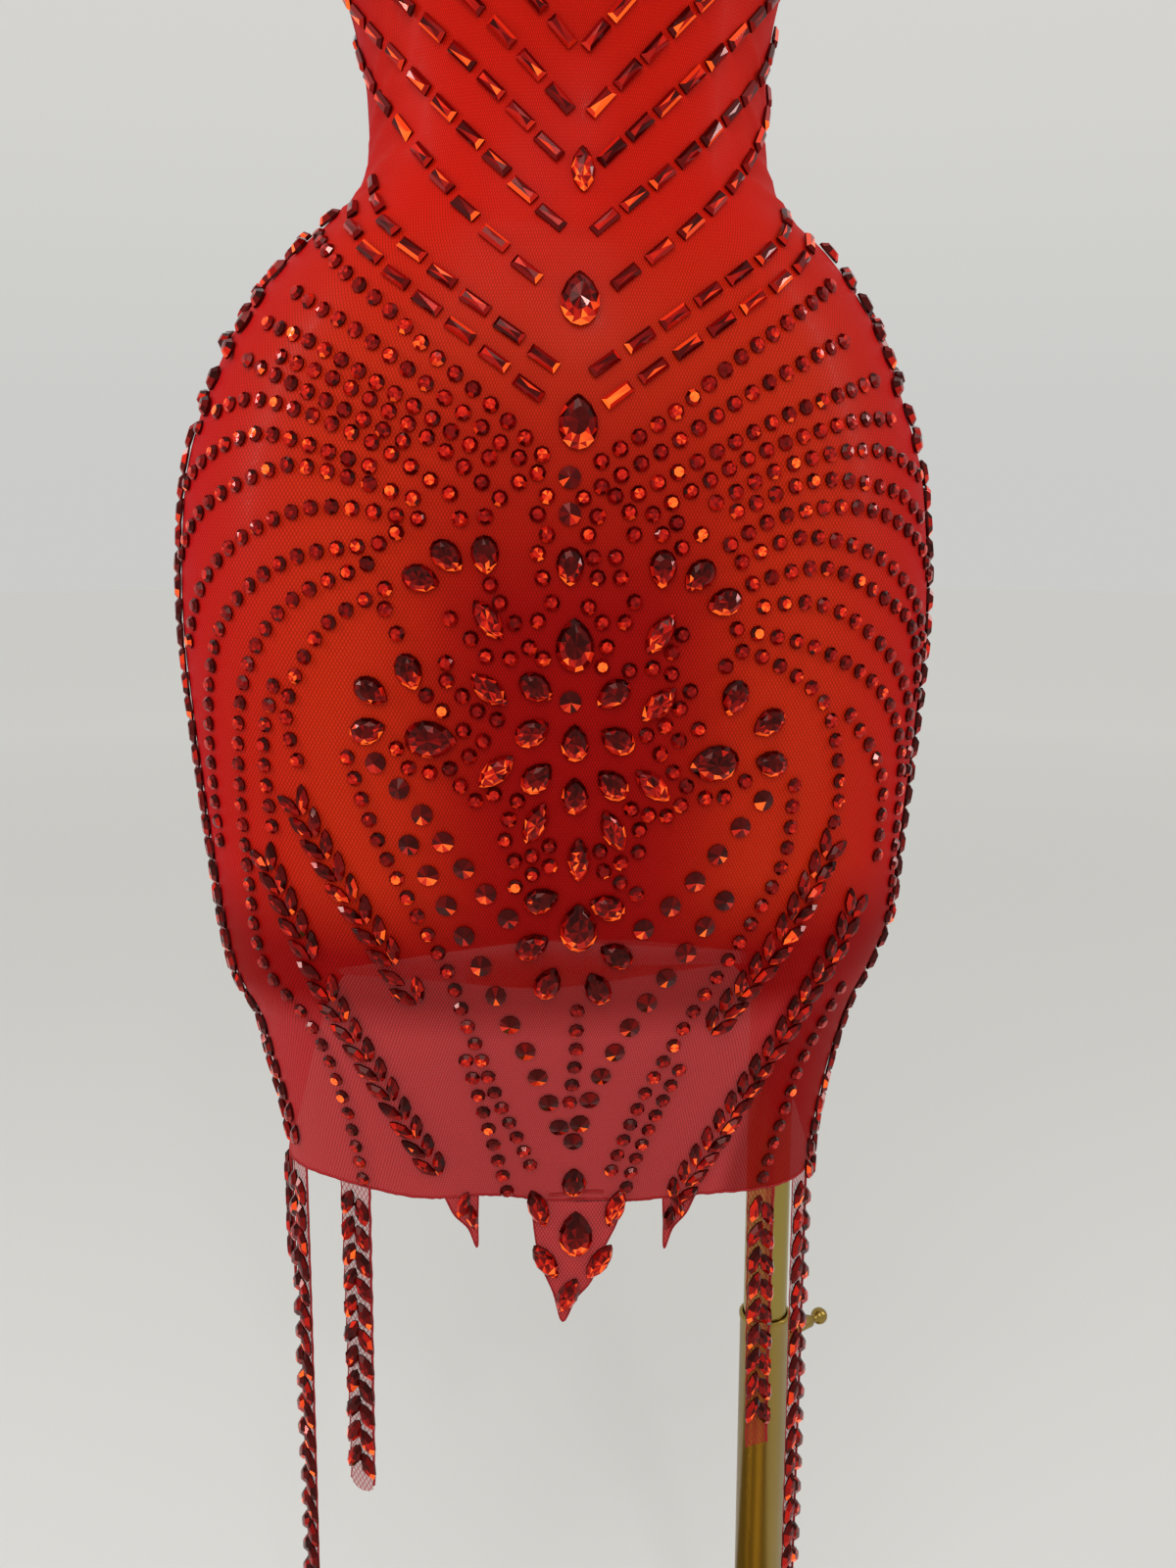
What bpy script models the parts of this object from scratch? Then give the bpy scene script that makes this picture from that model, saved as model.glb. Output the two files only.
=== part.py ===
"""Crystal mesh mini dress on a limbless dress form, with its telescopic stand.

Metres, +Z up, the origin on the floor below the middle of the base plate.
The front of the dress faces -Y.  A bearing is the angle about the upright
axis in degrees: 0 at centre front, +90 at the +X side, 180 at centre back.
A station is the height on the body up to the bust, and above it the length
along the cloth, so that the shoulders can be laid out too.
"""
import math
from collections import namedtuple

import bmesh
import bpy
from mathutils import Vector
from mathutils.geometry import delaunay_2d_cdt

COLLECTION = "mesh_dress"
CUTTERS = "cutters"

# Cloth and form
CLOTH = 0.0018            # wall of the net with its stones' backing
SEAM_GAP = 0.0003         # between two sewn pieces
SEAM_SHARE = 0.6          # of the gap, on each side of the seam's line
SEAM_MARGIN = 0.006       # no grid row of a seam lies closer to its ends
FORM_GAP = 0.0012         # between the cloth and the form inside it, up to the bust
SHOULDER_GAP = 0.0034     # the same over the shoulders, where the grid is coarse
SHOULDER_FROM = 1.180     # stations between which the gap widens
SHOULDER_TO = 1.250
HALF_COLUMNS = 16         # grid columns from one side seam to the other
HEM_COLUMNS = 48          # points along the hem of one panel
TAIL_GAP = 0.0005         # between the hem and a loose end
TOP_STEP = 0.006          # spacing of the points along a loose end's upper edge
COLUMN_FLATTENING = 1.6   # crowds the columns where the sections turn sharply
HEM = 0.500               # station of the hem at centre front
HEM_DROP = 0.005          # the hem hangs lower at the right side
HEM_WAVE = 0.0014         # raw edge, slightly wavy
HEM_WAVES = 9
BACK_RISE = 0.080         # the hem has ridden up above the form's back rim
BACK_RISE_FROM = 92.0     # bearings between which it climbs
BACK_RISE_TO = 128.0
RIPPLE = 0.0022           # soft folds of the free skirt below the form
RIPPLES = 7
RIPPLE_TOP = 0.570
RIPPLE_TURN = 0.6         # radians by which the folds are turned from centre front
NECK_MIDDLE_FRONT = 1.383
NECK_MIDDLE_BACK = 1.468
MAP_SCALE = 0.15          # metres of flat map for each radian of bearing
GRID_TO_EDGE = 0.004      # least distance on the map from a grid point to an edge
GRID_TO_STONE = 0.003
SLOPE_STEP = 0.0001       # radians or metres over which a slope is measured

# Stones, length, width and height
BAGUETTE = (0.0145, 0.0056, 0.0030)
BIG_DROP = (0.0245, 0.0178, 0.0048)
DROP = (0.0175, 0.0128, 0.0040)
MARQUISE = (0.0215, 0.0108, 0.0038)
LEAF = (0.0145, 0.0066, 0.0030)
ROUND = (0.0098, 0.0098, 0.0034)
STONE_MARGIN = 0.0006     # least cloth between two raised stones
EDGE_MARGIN = 0.0016      # least cloth between a stone and an edge
TILT_LOW = 0.012          # the pattern hangs lower at the right by this much at 45 degrees
TILT_HIGH = 0.005
TILT_FROM = 0.65          # stations between which the tilt changes
TILT_TO = 0.95
TILT_BEARING = 45.0
TILT_MOST = 1.3           # times the tilt at that bearing, and no more

# Stand
POLE_X = 0.1255
POLE_Y = 0.024            # far enough back for the strips to pass the clamp screw
MAST_RADIUS = 0.0130
TUBE_RADIUS = 0.0150
TUBE_BORE = 0.0136
TUBE_TOP = 0.374
MAST_BOTTOM = 0.100
MAST_TOP = 0.690
SOCKET_RADIUS = 0.0138
SOCKET_BOTTOM = 0.450     # lower end of the bore's cutter, below the form
FIT_GAP = 0.0003
BASE_RADIUS = 0.210
BASE_THICKNESS = 0.008
FLANGE_RADIUS = 0.034
FLANGE_HEIGHT = 0.014
BOSS_HEIGHT = 0.352
BOSS_RADIUS = 0.0058
BOSS_REACH = 0.0262
SCREW_BEARING = 34.0      # the clamp screw points right and back
SCREW_STEM = 0.0026
SCREW_SHANK = 0.0040
SCREW_BALL = 0.0052
SCREW_REACH = 0.0490
RIB_DEPTH = 0.0006
RIB_PITCH = 0.0034
RIB_FIRST = 0.0030        # from the collar's end to the first groove
PLATE_EASE = 0.0015
TUBE_LIP = 0.004
LIP_RISE = 0.0006
FLANGE_CLEARANCE = 0.0004
FLANGE_RIM = 0.004        # width of the flange's upper ring
FLANGE_FOOT = 0.006       # out and up to where its foot starts
FLANGE_EDGE = 0.004
SCREW_CLEARANCE = 0.0005
SHOULDER = 0.002          # length of the screw's step below its ball
PLATE_SIDES = 48
TUBE_SIDES = 24
SMALL_SIDES = 16
MERGE = 0.00001

# Form
RIM_FRONT = 0.652
RIM_BACK = 0.556
RIM_RINGS = 3
RIM_CLEARANCE = 0.010     # from the rim to the first full ring
CROWN_BACK = 0.004        # the arched underside's middle, back from the axis
CROWN_RISE = 0.004        # and above the rim's mean height

Section = namedtuple("Section", "station height half_width front back squareness shift")
SECTIONS = [
    Section(0.484, 0.484, 0.1465, 0.066, 0.082, 2.6, -0.003),
    Section(0.512, 0.512, 0.1465, 0.073, 0.090, 2.5, -0.003),
    Section(0.540, 0.540, 0.1500, 0.082, 0.098, 2.4, -0.003),
    Section(0.568, 0.568, 0.1560, 0.091, 0.106, 2.3, -0.003),
    Section(0.592, 0.592, 0.1620, 0.098, 0.112, 2.3, -0.002),
    Section(0.612, 0.612, 0.1725, 0.103, 0.117, 2.2, -0.002),
    Section(0.636, 0.636, 0.1795, 0.107, 0.122, 2.2, 0.000),
    Section(0.674, 0.674, 0.1835, 0.111, 0.128, 2.2, 0.000),
    Section(0.718, 0.718, 0.1875, 0.115, 0.134, 2.2, 0.000),
    Section(0.760, 0.760, 0.1910, 0.117, 0.139, 2.2, 0.000),
    Section(0.800, 0.800, 0.1930, 0.118, 0.142, 2.2, 0.000),
    Section(0.838, 0.838, 0.1915, 0.117, 0.142, 2.2, 0.000),
    Section(0.876, 0.876, 0.1865, 0.115, 0.138, 2.2, 0.000),
    Section(0.905, 0.905, 0.1770, 0.112, 0.131, 2.2, 0.000),
    Section(0.932, 0.932, 0.1655, 0.108, 0.121, 2.2, 0.001),
    Section(0.957, 0.957, 0.1495, 0.103, 0.110, 2.2, 0.002),
    Section(0.977, 0.977, 0.1320, 0.098, 0.100, 2.2, 0.003),
    Section(0.994, 0.994, 0.1120, 0.092, 0.090, 2.2, 0.004),
    Section(1.010, 1.010, 0.1010, 0.088, 0.084, 2.2, 0.005),
    Section(1.050, 1.050, 0.0970, 0.084, 0.079, 2.2, 0.005),
    Section(1.080, 1.080, 0.1005, 0.086, 0.080, 2.2, 0.004),
    Section(1.110, 1.110, 0.1080, 0.090, 0.083, 2.2, 0.003),
    Section(1.160, 1.160, 0.1210, 0.096, 0.088, 2.2, 0.001),
    Section(1.185, 1.185, 0.1270, 0.0985, 0.0900, 2.2, 0.000),
    Section(1.210, 1.210, 0.1330, 0.101, 0.092, 2.2, 0.000),
    Section(1.235, 1.235, 0.1382, 0.1023, 0.0936, 2.2, 0.000),
    Section(1.260, 1.260, 0.1430, 0.103, 0.095, 2.2, 0.000),
    Section(1.285, 1.285, 0.1472, 0.1005, 0.0956, 2.2, 0.000),
    Section(1.310, 1.310, 0.1510, 0.097, 0.096, 2.2, 0.000),
    Section(1.330, 1.330, 0.1543, 0.0905, 0.0938, 2.2, 0.000),
    Section(1.350, 1.350, 0.1570, 0.083, 0.091, 2.3, 0.000),
    Section(1.385, 1.382, 0.1560, 0.068, 0.080, 2.3, 0.000),
    Section(1.425, 1.405, 0.1330, 0.057, 0.068, 2.2, 0.000),
    Section(1.465, 1.422, 0.1020, 0.050, 0.059, 2.1, 0.000),
    Section(1.500, 1.438, 0.0740, 0.047, 0.053, 2.0, 0.000),
    Section(1.530, 1.460, 0.0570, 0.046, 0.050, 2.0, 0.000),
    Section(1.570, 1.500, 0.0520, 0.045, 0.048, 2.0, 0.000),
]
STATIONS = [row.station for row in SECTIONS]

Bust = namedtuple("Bust", "bearing station spread rise depth")
BUST = Bust(bearing=35.0, station=1.245, spread=20.0, rise=0.050, depth=0.020)

# Upper edges of the panels, from the side seam to the middle
EdgePoint = namedtuple("EdgePoint", "bearing station")
ARMHOLE_FRONT = [
    EdgePoint(84, 1.262), EdgePoint(76, 1.272), EdgePoint(68, 1.295), EdgePoint(63, 1.325),
    EdgePoint(61, 1.358), EdgePoint(62, 1.390), EdgePoint(67, 1.418), EdgePoint(77, 1.440),
]
ARMHOLE_BACK = [
    EdgePoint(84, 1.262), EdgePoint(76, 1.274), EdgePoint(67, 1.300), EdgePoint(61, 1.330),
    EdgePoint(59, 1.362), EdgePoint(61, 1.392), EdgePoint(67, 1.419), EdgePoint(77, 1.440),
]
NECK_FRONT = [
    EdgePoint(76, 1.488), EdgePoint(60, 1.470), EdgePoint(44, 1.440),
    EdgePoint(29, 1.408), EdgePoint(14, 1.388),
]
NECK_BACK = [
    EdgePoint(76, 1.491), EdgePoint(58, 1.482), EdgePoint(40, 1.474), EdgePoint(20, 1.469),
]
UNDERARM = 1.258
STRAP_OUT = 1.450
STRAP_IN = 1.496

# Stone pattern of one half, mirrored to the other
Chevron = namedtuple("Chevron", "tip_bearing tip_station end_bearing end_station pitch")
CHEVRONS = [
    Chevron(10, 0.905, 63, 0.983, 0.0200),
    Chevron(7, 0.918, 62, 0.995, 0.0200),
    Chevron(12, 0.956, 82, 1.060, 0.0195),
    Chevron(7, 0.979, 82, 1.087, 0.0180),
    Chevron(9, 1.011, 82, 1.118, 0.0175),
    Chevron(6, 1.032, 82, 1.152, 0.0175),
    Chevron(5, 1.060, 82, 1.186, 0.0180),
    Chevron(5, 1.092, 82, 1.220, 0.0190),
    Chevron(5, 1.126, 82, 1.252, 0.0200),
]
BACK_CHEVRONS = [
    Chevron(98, 1.083, 158, 1.150, 0.0190),
    Chevron(98, 1.110, 158, 1.180, 0.0190),
    Chevron(98, 1.141, 158, 1.214, 0.0200),
    Chevron(98, 1.176, 158, 1.250, 0.0200),
]

Stone = namedtuple("Stone", "kind bearing station heading")
CENTRE_STONES = [
    Stone("marquise", 1, 1.002, 0), Stone("big_drop", 1, 0.945, 0), Stone("big_drop", 1, 0.892, 0),
    Stone("round", -1, 0.868, 0), Stone("round", -1, 0.852, 0), Stone("drop", -1, 0.829, 180),
    Stone("big_drop", 0, 0.794, 0), Stone("round", -1, 0.768, 0), Stone("drop", 0, 0.749, 0),
    Stone("drop", 0, 0.724, 0), Stone("marquise", 1, 0.693, 0), Stone("big_drop", 1, 0.659, 0),
    Stone("drop", 4, 0.512, 0), Stone("round", 3, 0.538, 0),
]
FLOWER = [
    Stone("drop", 31.5, 0.818, 255), Stone("drop", 26.5, 0.829, 225), Stone("drop", 19, 0.831, 185),
    Stone("drop", 34, 0.775, 200), Stone("drop", 41, 0.764, 240), Stone("drop", 42, 0.745, 285),
    Stone("big_drop", 30.5, 0.744, 265), Stone("marquise", 18.5, 0.802, 35),
    Stone("marquise", 18.5, 0.770, 48), Stone("marquise", 17.5, 0.732, 132),
    Stone("marquise", 9, 0.709, 155), Stone("drop", 8.5, 0.773, 235), Stone("drop", 9.5, 0.752, 300),
    Stone("drop", 8.5, 0.731, 315), Stone("drop", 8, 0.671, 290), Stone("drop", 10.5, 0.647, 300),
    Stone("drop", 6.5, 0.629, 335),
]

Row = namedtuple("Row", "bearing0 station0 bearing1 station1 bearing2 station2 pitch")
VINES = [
    Row(56, 0.704, 49, 0.662, 38.5, 0.614, 0.0125),
    Row(63.5, 0.672, 54.5, 0.600, 43, 0.512, 0.0125),
    Row(84, 0.880, 83, 0.690, 79, 0.508, 0.0135),
]
ROUND_ROWS = [
    Row(38, 0.728, 25, 0.655, 4.5, 0.549, 0.0170),
    Row(31, 0.715, 24, 0.690, 13, 0.660, 0.0170),
]
ROW_SPOTS = 200           # steps in which a row's length is measured
LEAF_SPLAY = 27.0         # degrees between a leaf and its vine
LEAF_SIDE = 0.0046        # from the vine's line to a leaf's middle

# Loose ends below the hem
Tail = namedtuple("Tail", "name bearing length top_width end_width drift end")
TAILS = [
    Tail("tail_outer_left", -90.5, 0.080, 0.011, 0.008, 0.000, "square"),
    Tail("tail_long_left", -79.0, 0.300, 0.016, 0.012, -0.003, "square"),
    Tail("tail_second_left", -63.5, 0.176, 0.017, 0.014, -0.001, "round"),
    Tail("tail_long_right", 62.3, 0.154, 0.017, 0.014, 0.001, "square"),
    Tail("tail_far_right", 74.0, 0.308, 0.016, 0.012, -0.002, "square"),
]
TAIL_PITCH = 0.0150
TAIL_ROWS = 8
TAIL_FIRST = 0.011        # from the hem to the first pair of leaves
TAIL_SPARE = 0.012        # length that carries no leaves
TAIL_LEAF_SIDE = 0.0033
TAIL_STAGGER = 0.004      # the right leaf of a pair lies lower by this much
TAIL_SPLAY = 8.1
TAIL_ROUNDING = 0.8       # depth of a rounded end over its half width
ROUNDED_END = (210, 240, 270, 300, 330)
OutlinePoint = namedtuple("OutlinePoint", "across down")
POINT_LEFT = [
    OutlinePoint(-0.0085, 0.0), OutlinePoint(-0.004, 0.010), OutlinePoint(0.003, 0.018),
    OutlinePoint(0.0075, 0.029), OutlinePoint(0.0080, 0.014), OutlinePoint(0.0085, 0.0),
]
POINT_CENTRE = [
    OutlinePoint(-0.024, 0.0), OutlinePoint(-0.022, 0.020), OutlinePoint(-0.019, 0.036),
    OutlinePoint(-0.012, 0.052), OutlinePoint(-0.007, 0.069), OutlinePoint(0.000, 0.056),
    OutlinePoint(0.008, 0.046), OutlinePoint(0.015, 0.027), OutlinePoint(0.022, 0.012),
    OutlinePoint(0.024, 0.0),
]
Point = namedtuple("Point", "name bearing outline mirrored stones")
LocalStone = namedtuple("LocalStone", "kind across down heading")
POINTS = [
    Point("point_left", -37.0, POINT_LEFT, False, [LocalStone("leaf", 0.0025, 0.0105, 160)]),
    Point("point_centre", 5.0, POINT_CENTRE, False, [
        LocalStone("big_drop", 0.000, 0.0185, 0), LocalStone("leaf", -0.0125, 0.0350, 150),
        LocalStone("leaf", 0.0055, 0.0385, 215), LocalStone("leaf", -0.0060, 0.0515, 205),
    ]),
    Point("point_right", 43.0, POINT_LEFT, True, [LocalStone("leaf", 0.0025, 0.0105, 160)]),
]

MESH_RED = (0.62, 0.02, 0.03, 1.0)
FORM_TAN = (0.72, 0.42, 0.24, 1.0)
BRASS = (0.50, 0.40, 0.16, 1.0)


def smooth_read(value, stops, values):
    """Read a table at a value on a smooth curve through its rows."""
    value = min(max(value, stops[0]), stops[-1])
    last = len(stops) - 1
    row = 0
    while row < last - 1 and stops[row + 1] < value:
        row += 1

    def slope(k):
        low, high = max(k - 1, 0), min(k + 1, last)
        left = (values[k] - values[low]) / (stops[k] - stops[low]) if k > low else None
        right = (values[high] - values[k]) / (stops[high] - stops[k]) if k < high else None
        if left is None:
            return right
        if right is None:
            return left
        return (left + right) / 2

    span = stops[row + 1] - stops[row]
    t = (value - stops[row]) / span
    square, cube = t * t, t * t * t
    return ((2 * cube - 3 * square + 1) * values[row]
            + (cube - 2 * square + t) * slope(row) * span
            + (3 * square - 2 * cube) * values[row + 1]
            + (cube - square) * slope(row + 1) * span)


COLUMNS = {name: [getattr(row, name) for row in SECTIONS] for name in Section._fields}


def section(station):
    """The section's height, half width, depths, squareness and shift at a station."""
    return [smooth_read(station, STATIONS, COLUMNS[name]) for name in Section._fields[1:]]


def skin(bearing, station):
    """A point on the inner face of the cloth; the bearing is in radians."""
    height, half_width, front, back, squareness, shift = section(station)
    across, ahead = math.sin(bearing), math.cos(bearing)
    depth = front if ahead > 0 else back
    radius = ((abs(across) / half_width) ** squareness
              + (abs(ahead) / depth) ** squareness) ** (-1 / squareness)
    turned = abs(math.atan2(across, ahead))
    aside = (turned - math.radians(BUST.bearing)) / math.radians(BUST.spread)
    above = (station - BUST.station) / BUST.rise
    radius += BUST.depth * math.exp(-aside * aside - above * above)
    fade = min(max((RIPPLE_TOP - station) / (RIPPLE_TOP - HEM), 0.0), 1.0)
    radius += RIPPLE * fade * fade * math.sin(RIPPLES * bearing + RIPPLE_TURN)
    return Vector((shift + radius * across, -radius * ahead, height))


def skin_frame(bearing, station):
    """The point with its two slopes and the outward normal."""
    step = SLOPE_STEP
    along = (skin(bearing + step, station) - skin(bearing - step, station)) / (2 * step)
    up = (skin(bearing, station + step) - skin(bearing, station - step)) / (2 * step)
    return skin(bearing, station), along, up, along.cross(up).normalized()


def back_rise(bearing):
    """How far the hem climbs towards the back."""
    away = math.degrees(abs(math.atan2(math.sin(bearing), math.cos(bearing))))
    part = min(max((away - BACK_RISE_FROM) / (BACK_RISE_TO - BACK_RISE_FROM), 0.0), 1.0)
    return BACK_RISE * part * part * (3.0 - 2.0 * part)


def hem_station(bearing):
    """The wavy raw edge."""
    wave = HEM_WAVE * math.sin(HEM_WAVES * bearing)
    return HEM - HEM_DROP * math.sin(bearing) + wave + back_rise(bearing)


def place_on_body(bearing, station, out):
    """A cloth point moved out from the inner face."""
    point, _, _, normal = skin_frame(bearing, station)
    return point + normal * out


def tilt(side, bearing, station):
    """How far the pattern hangs down on this side."""
    part = min(max((station - TILT_FROM) / (TILT_TO - TILT_FROM), 0.0), 1.0)
    amount = TILT_LOW + (TILT_HIGH - TILT_LOW) * part
    return -side * amount * min(abs(bearing) / TILT_BEARING, TILT_MOST)


def stone_outline(kind):
    """Base points and raised points of a stone, its tip towards +Y of its own frame."""
    if kind == "baguette":
        length, width, height = BAGUETTE
        base = [(-width / 2, -length / 2), (width / 2, -length / 2),
                (width / 2, length / 2), (-width / 2, length / 2)]
        ridge = length / 2 - width * 0.5
        return base, [(0, -ridge), (0, ridge)], height
    if kind in ("drop", "big_drop"):
        length, width, height = DROP if kind == "drop" else BIG_DROP
        belly = -length * 0.16
        base = [(0, length / 2), (-width * 0.44, length * 0.08), (-width * 0.46, belly - width * 0.18),
                (0, -length / 2), (width * 0.46, belly - width * 0.18), (width * 0.44, length * 0.08)]
        top = [(0, length * 0.18), (-width * 0.22, belly - width * 0.05),
               (width * 0.22, belly - width * 0.05)]
        return base, top, height
    if kind == "round":
        radius, height = ROUND[0] / 2, ROUND[2]
        base = [(radius * math.sin(k * math.tau / 5), radius * math.cos(k * math.tau / 5))
                for k in range(5)][::-1]
        return base, [(0, 0)], height
    length, width, height = MARQUISE if kind == "marquise" else LEAF
    base = [(0, -length / 2), (width / 2, 0), (0, length / 2), (-width / 2, 0)]
    return base, [(0, 0)], height


def turned(point, heading):
    """A local point turned clockwise by a heading in degrees, 0 up the cloth."""
    angle = math.radians(heading)
    return (point[0] * math.cos(angle) + point[1] * math.sin(angle),
            -point[0] * math.sin(angle) + point[1] * math.cos(angle))


def lay_on_body(bearing, station, local):
    """The cloth coordinates of a point given in metres right and up of a spot."""
    _, along, up, normal = skin_frame(bearing, station)
    right = along.normalized()
    lift = normal.cross(right)
    rise = local[1] / up.dot(lift)
    turn = (local[0] - up.dot(right) * rise) / along.length
    return bearing + turn, station + rise


class Panel:
    """One piece of net: an outline, a grid, raised stones and a rule that places them."""

    def __init__(self, name, outline, grid, place, lay, scale=MAP_SCALE):
        self.name = name
        self.outline = outline
        self.grid = grid
        self.place = place
        self.lay = lay
        self.scale = scale
        self.stones = []

    def to_map(self, point):
        return Vector((point[0] * self.scale, point[1]))

    def add(self, kind, u, v, heading):
        """Add a stone unless it would cross another one or an edge."""
        base, top, height = stone_outline(kind)
        base = [self.lay(u, v, turned(p, heading)) for p in base]
        top = [self.lay(u, v, turned(p, heading)) for p in top]
        flat = [self.to_map(p) for p in base]
        edge = [self.to_map(p) for p in self.outline]
        if not all(inside(p, edge) and edge_distance(p, edge) > EDGE_MARGIN for p in flat):
            return
        if any(not apart(flat, other) for other, _, _, _ in self.stones):
            return
        self.stones.append((flat, base, top, height))

    def triangles(self, with_stones):
        """Cloth points with their lift, and the triangles between them."""
        points = [(u, v, 0.0) for u, v in self.outline]
        count = len(points)
        edge = [self.to_map(p) for p in self.outline]
        loops = []
        stones = self.stones if with_stones else []
        for flat, base, top, height in stones:
            start = len(points)
            points += [(u, v, 0.0) for u, v in base]
            points += [(u, v, height) for u, v in top]
            loops += [(start + k, start + (k + 1) % len(base)) for k in range(len(base))]
        for u, v in self.grid:
            spot = self.to_map((u, v))
            if not inside(spot, edge) or edge_distance(spot, edge) < GRID_TO_EDGE:
                continue
            if any(near_stone(spot, flat) for flat, _, _, _ in stones):
                continue
            points.append((u, v, 0.0))
        flat_points = [self.to_map(p) for p in points]
        result = delaunay_2d_cdt(flat_points, loops, [list(range(count))], 1, 1e-6)
        spots, faces, origins = result[0], result[2], result[3]
        located = []
        for spot, origin in zip(spots, origins):
            located.append(points[origin[0]] if origin else (spot.x / self.scale, spot.y, 0.0))
        order = {}
        for index, origin in enumerate(origins):
            for source in origin:
                if source < count:
                    order[source] = index
        tidy = []
        for face in faces:
            a, b, c = (spots[k] for k in face)
            area = (b - a).cross(c - a)
            tidy.append(list(face) if area > 0 else list(reversed(face)))
        return located, tidy, [order[k] for k in range(count)]

    def build(self, material):
        """A closed wall: stones on the outside, plain inside, edges joined."""
        mesh = bmesh.new()
        rims = []
        for with_stones, out in ((True, CLOTH), (False, 0.0)):
            located, faces, rim = self.triangles(with_stones)
            verts = [mesh.verts.new(self.place(u, v, out + lift)) for u, v, lift in located]
            for face in faces:
                corners = [verts[k] for k in face]
                mesh.faces.new(corners if with_stones else corners[::-1])
            rims.append([verts[k] for k in rim])
        outer, inner = rims
        for k in range(len(outer)):
            n = (k + 1) % len(outer)
            mesh.faces.new((outer[n], outer[k], inner[k], inner[n]))
        return finish_mesh(self.name, mesh, material)


def inside(point, outline):
    """Whether a flat point lies in a flat outline."""
    hit = False
    for k, a in enumerate(outline):
        b = outline[k - 1]
        if (a.y > point.y) != (b.y > point.y):
            if point.x < (b.x - a.x) * (point.y - a.y) / (b.y - a.y) + a.x:
                hit = not hit
    return hit


def edge_distance(point, outline):
    """Distance from a flat point to the nearest side of an outline."""
    nearest = 1.0
    for k, a in enumerate(outline):
        side = outline[k - 1] - a
        part = min(max((point - a).dot(side) / max(side.length_squared, 1e-12), 0.0), 1.0)
        nearest = min(nearest, (a + side * part - point).length)
    return nearest


def near_stone(point, outline):
    """Whether a flat point lies on a stone or close beside it."""
    return inside(point, outline) or edge_distance(point, outline) < GRID_TO_STONE


def apart(one, other):
    """Whether two convex outlines keep the margin between stones."""
    for shape in (one, other):
        for k, a in enumerate(shape):
            side = (a - shape[k - 1]).normalized()
            normal = Vector((-side.y, side.x))
            first = [normal.dot(p) for p in one]
            second = [normal.dot(p) for p in other]
            if min(first) > max(second) + STONE_MARGIN or min(second) > max(first) + STONE_MARGIN:
                return True
    return False


def finish_mesh(name, mesh, material):
    """Turn a bmesh into a named object in the dress collection."""
    data = bpy.data.meshes.new(name)
    mesh.to_mesh(data)
    mesh.free()
    data.materials.append(material)
    part = bpy.data.objects.new(name, data)
    bpy.data.collections[COLLECTION].objects.link(part)
    return part


def make_material(name, colour, roughness, metallic=0.0):
    """A plain principled finish."""
    material = bpy.data.materials.new(name)
    material.use_nodes = True
    shader = material.node_tree.nodes["Principled BSDF"]
    shader.inputs["Base Color"].default_value = colour
    shader.inputs["Roughness"].default_value = roughness
    shader.inputs["Metallic"].default_value = metallic
    material.diffuse_color = colour
    return material


def column_bearings(first, last, count):
    """Grid bearings, closer together where the sections turn sharply."""
    start, end = first / 90.0, last / 90.0
    bearings = []
    for k in range(count + 1):
        t = math.radians(90.0 * (start + (end - start) * k / count))
        turns = round(t / math.tau)
        t -= turns * math.tau
        bearings.append(math.atan2(COLUMN_FLATTENING * math.sin(t), math.cos(t)) + turns * math.tau)
    return bearings


def seam_bearing(station):
    """Where a side seam's edge lies: a quarter turn less its share of the gap."""
    return math.pi / 2 - SEAM_GAP * SEAM_SHARE / section(station)[1]


def body_outline(armhole, neck, middle):
    """The outline of a panel centred at bearing 0, from the hem's left end round."""
    columns = column_bearings(-90, 90, HEM_COLUMNS)
    edge = seam_bearing(HEM)
    hem = [(min(max(b, -edge), edge), b) for b in columns]
    seam = [s for s in STATIONS if HEM + SEAM_MARGIN < s < UNDERARM - SEAM_MARGIN]
    seam.append(UNDERARM)
    right = [(seam_bearing(s), s) for s in seam]
    right += [(math.radians(p.bearing), p.station) for p in armhole]
    right += [(seam_bearing(STRAP_OUT), STRAP_OUT), (seam_bearing(STRAP_IN), STRAP_IN)]
    right += [(math.radians(p.bearing), p.station) for p in neck]
    left = [(-bearing, station) for bearing, station in reversed(right)]
    return hem, right + [(0.0, middle)] + left


def body_panel(name, centre, armhole, neck, middle, material, stones):
    """The front or the back, centred at a bearing in radians."""
    hem, rest = body_outline(armhole, neck, middle)
    outline = [(centre + b, hem_station(centre + true)) for b, true in hem]
    outline += [(centre + b, s) for b, s in rest]
    columns = column_bearings(-90, 90, HALF_COLUMNS)[1:-1]
    grid = [(centre + b, s) for b in columns for s in STATIONS[1:]]
    panel = Panel(name, outline, grid, place_on_body, lay_on_body)
    stones(panel)
    return panel.build(material)


def along_row(row):
    """Points at an even pitch on the smooth curve of a row, with the heading down it."""
    curve = []
    for k in range(ROW_SPOTS + 1):
        t = k / ROW_SPOTS
        weights = ((1 - t) * (1 - 2 * t), 4 * t * (1 - t), t * (2 * t - 1))
        bearing = weights[0] * row.bearing0 + weights[1] * row.bearing1 + weights[2] * row.bearing2
        station = weights[0] * row.station0 + weights[1] * row.station1 + weights[2] * row.station2
        curve.append((bearing, station, skin(math.radians(bearing), station)))
    result, travelled = [], 0.0
    for before, now in zip(curve, curve[1:]):
        if travelled <= 0.0:
            _, along, up, normal = skin_frame(math.radians(now[0]), now[1])
            step = now[2] - before[2]
            right = along.normalized()
            heading = math.degrees(math.atan2(step.dot(right), step.dot(normal.cross(right))))
            result.append((now[0], now[1], heading))
            travelled += row.pitch
        travelled -= (now[2] - before[2]).length
    return result


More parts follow.
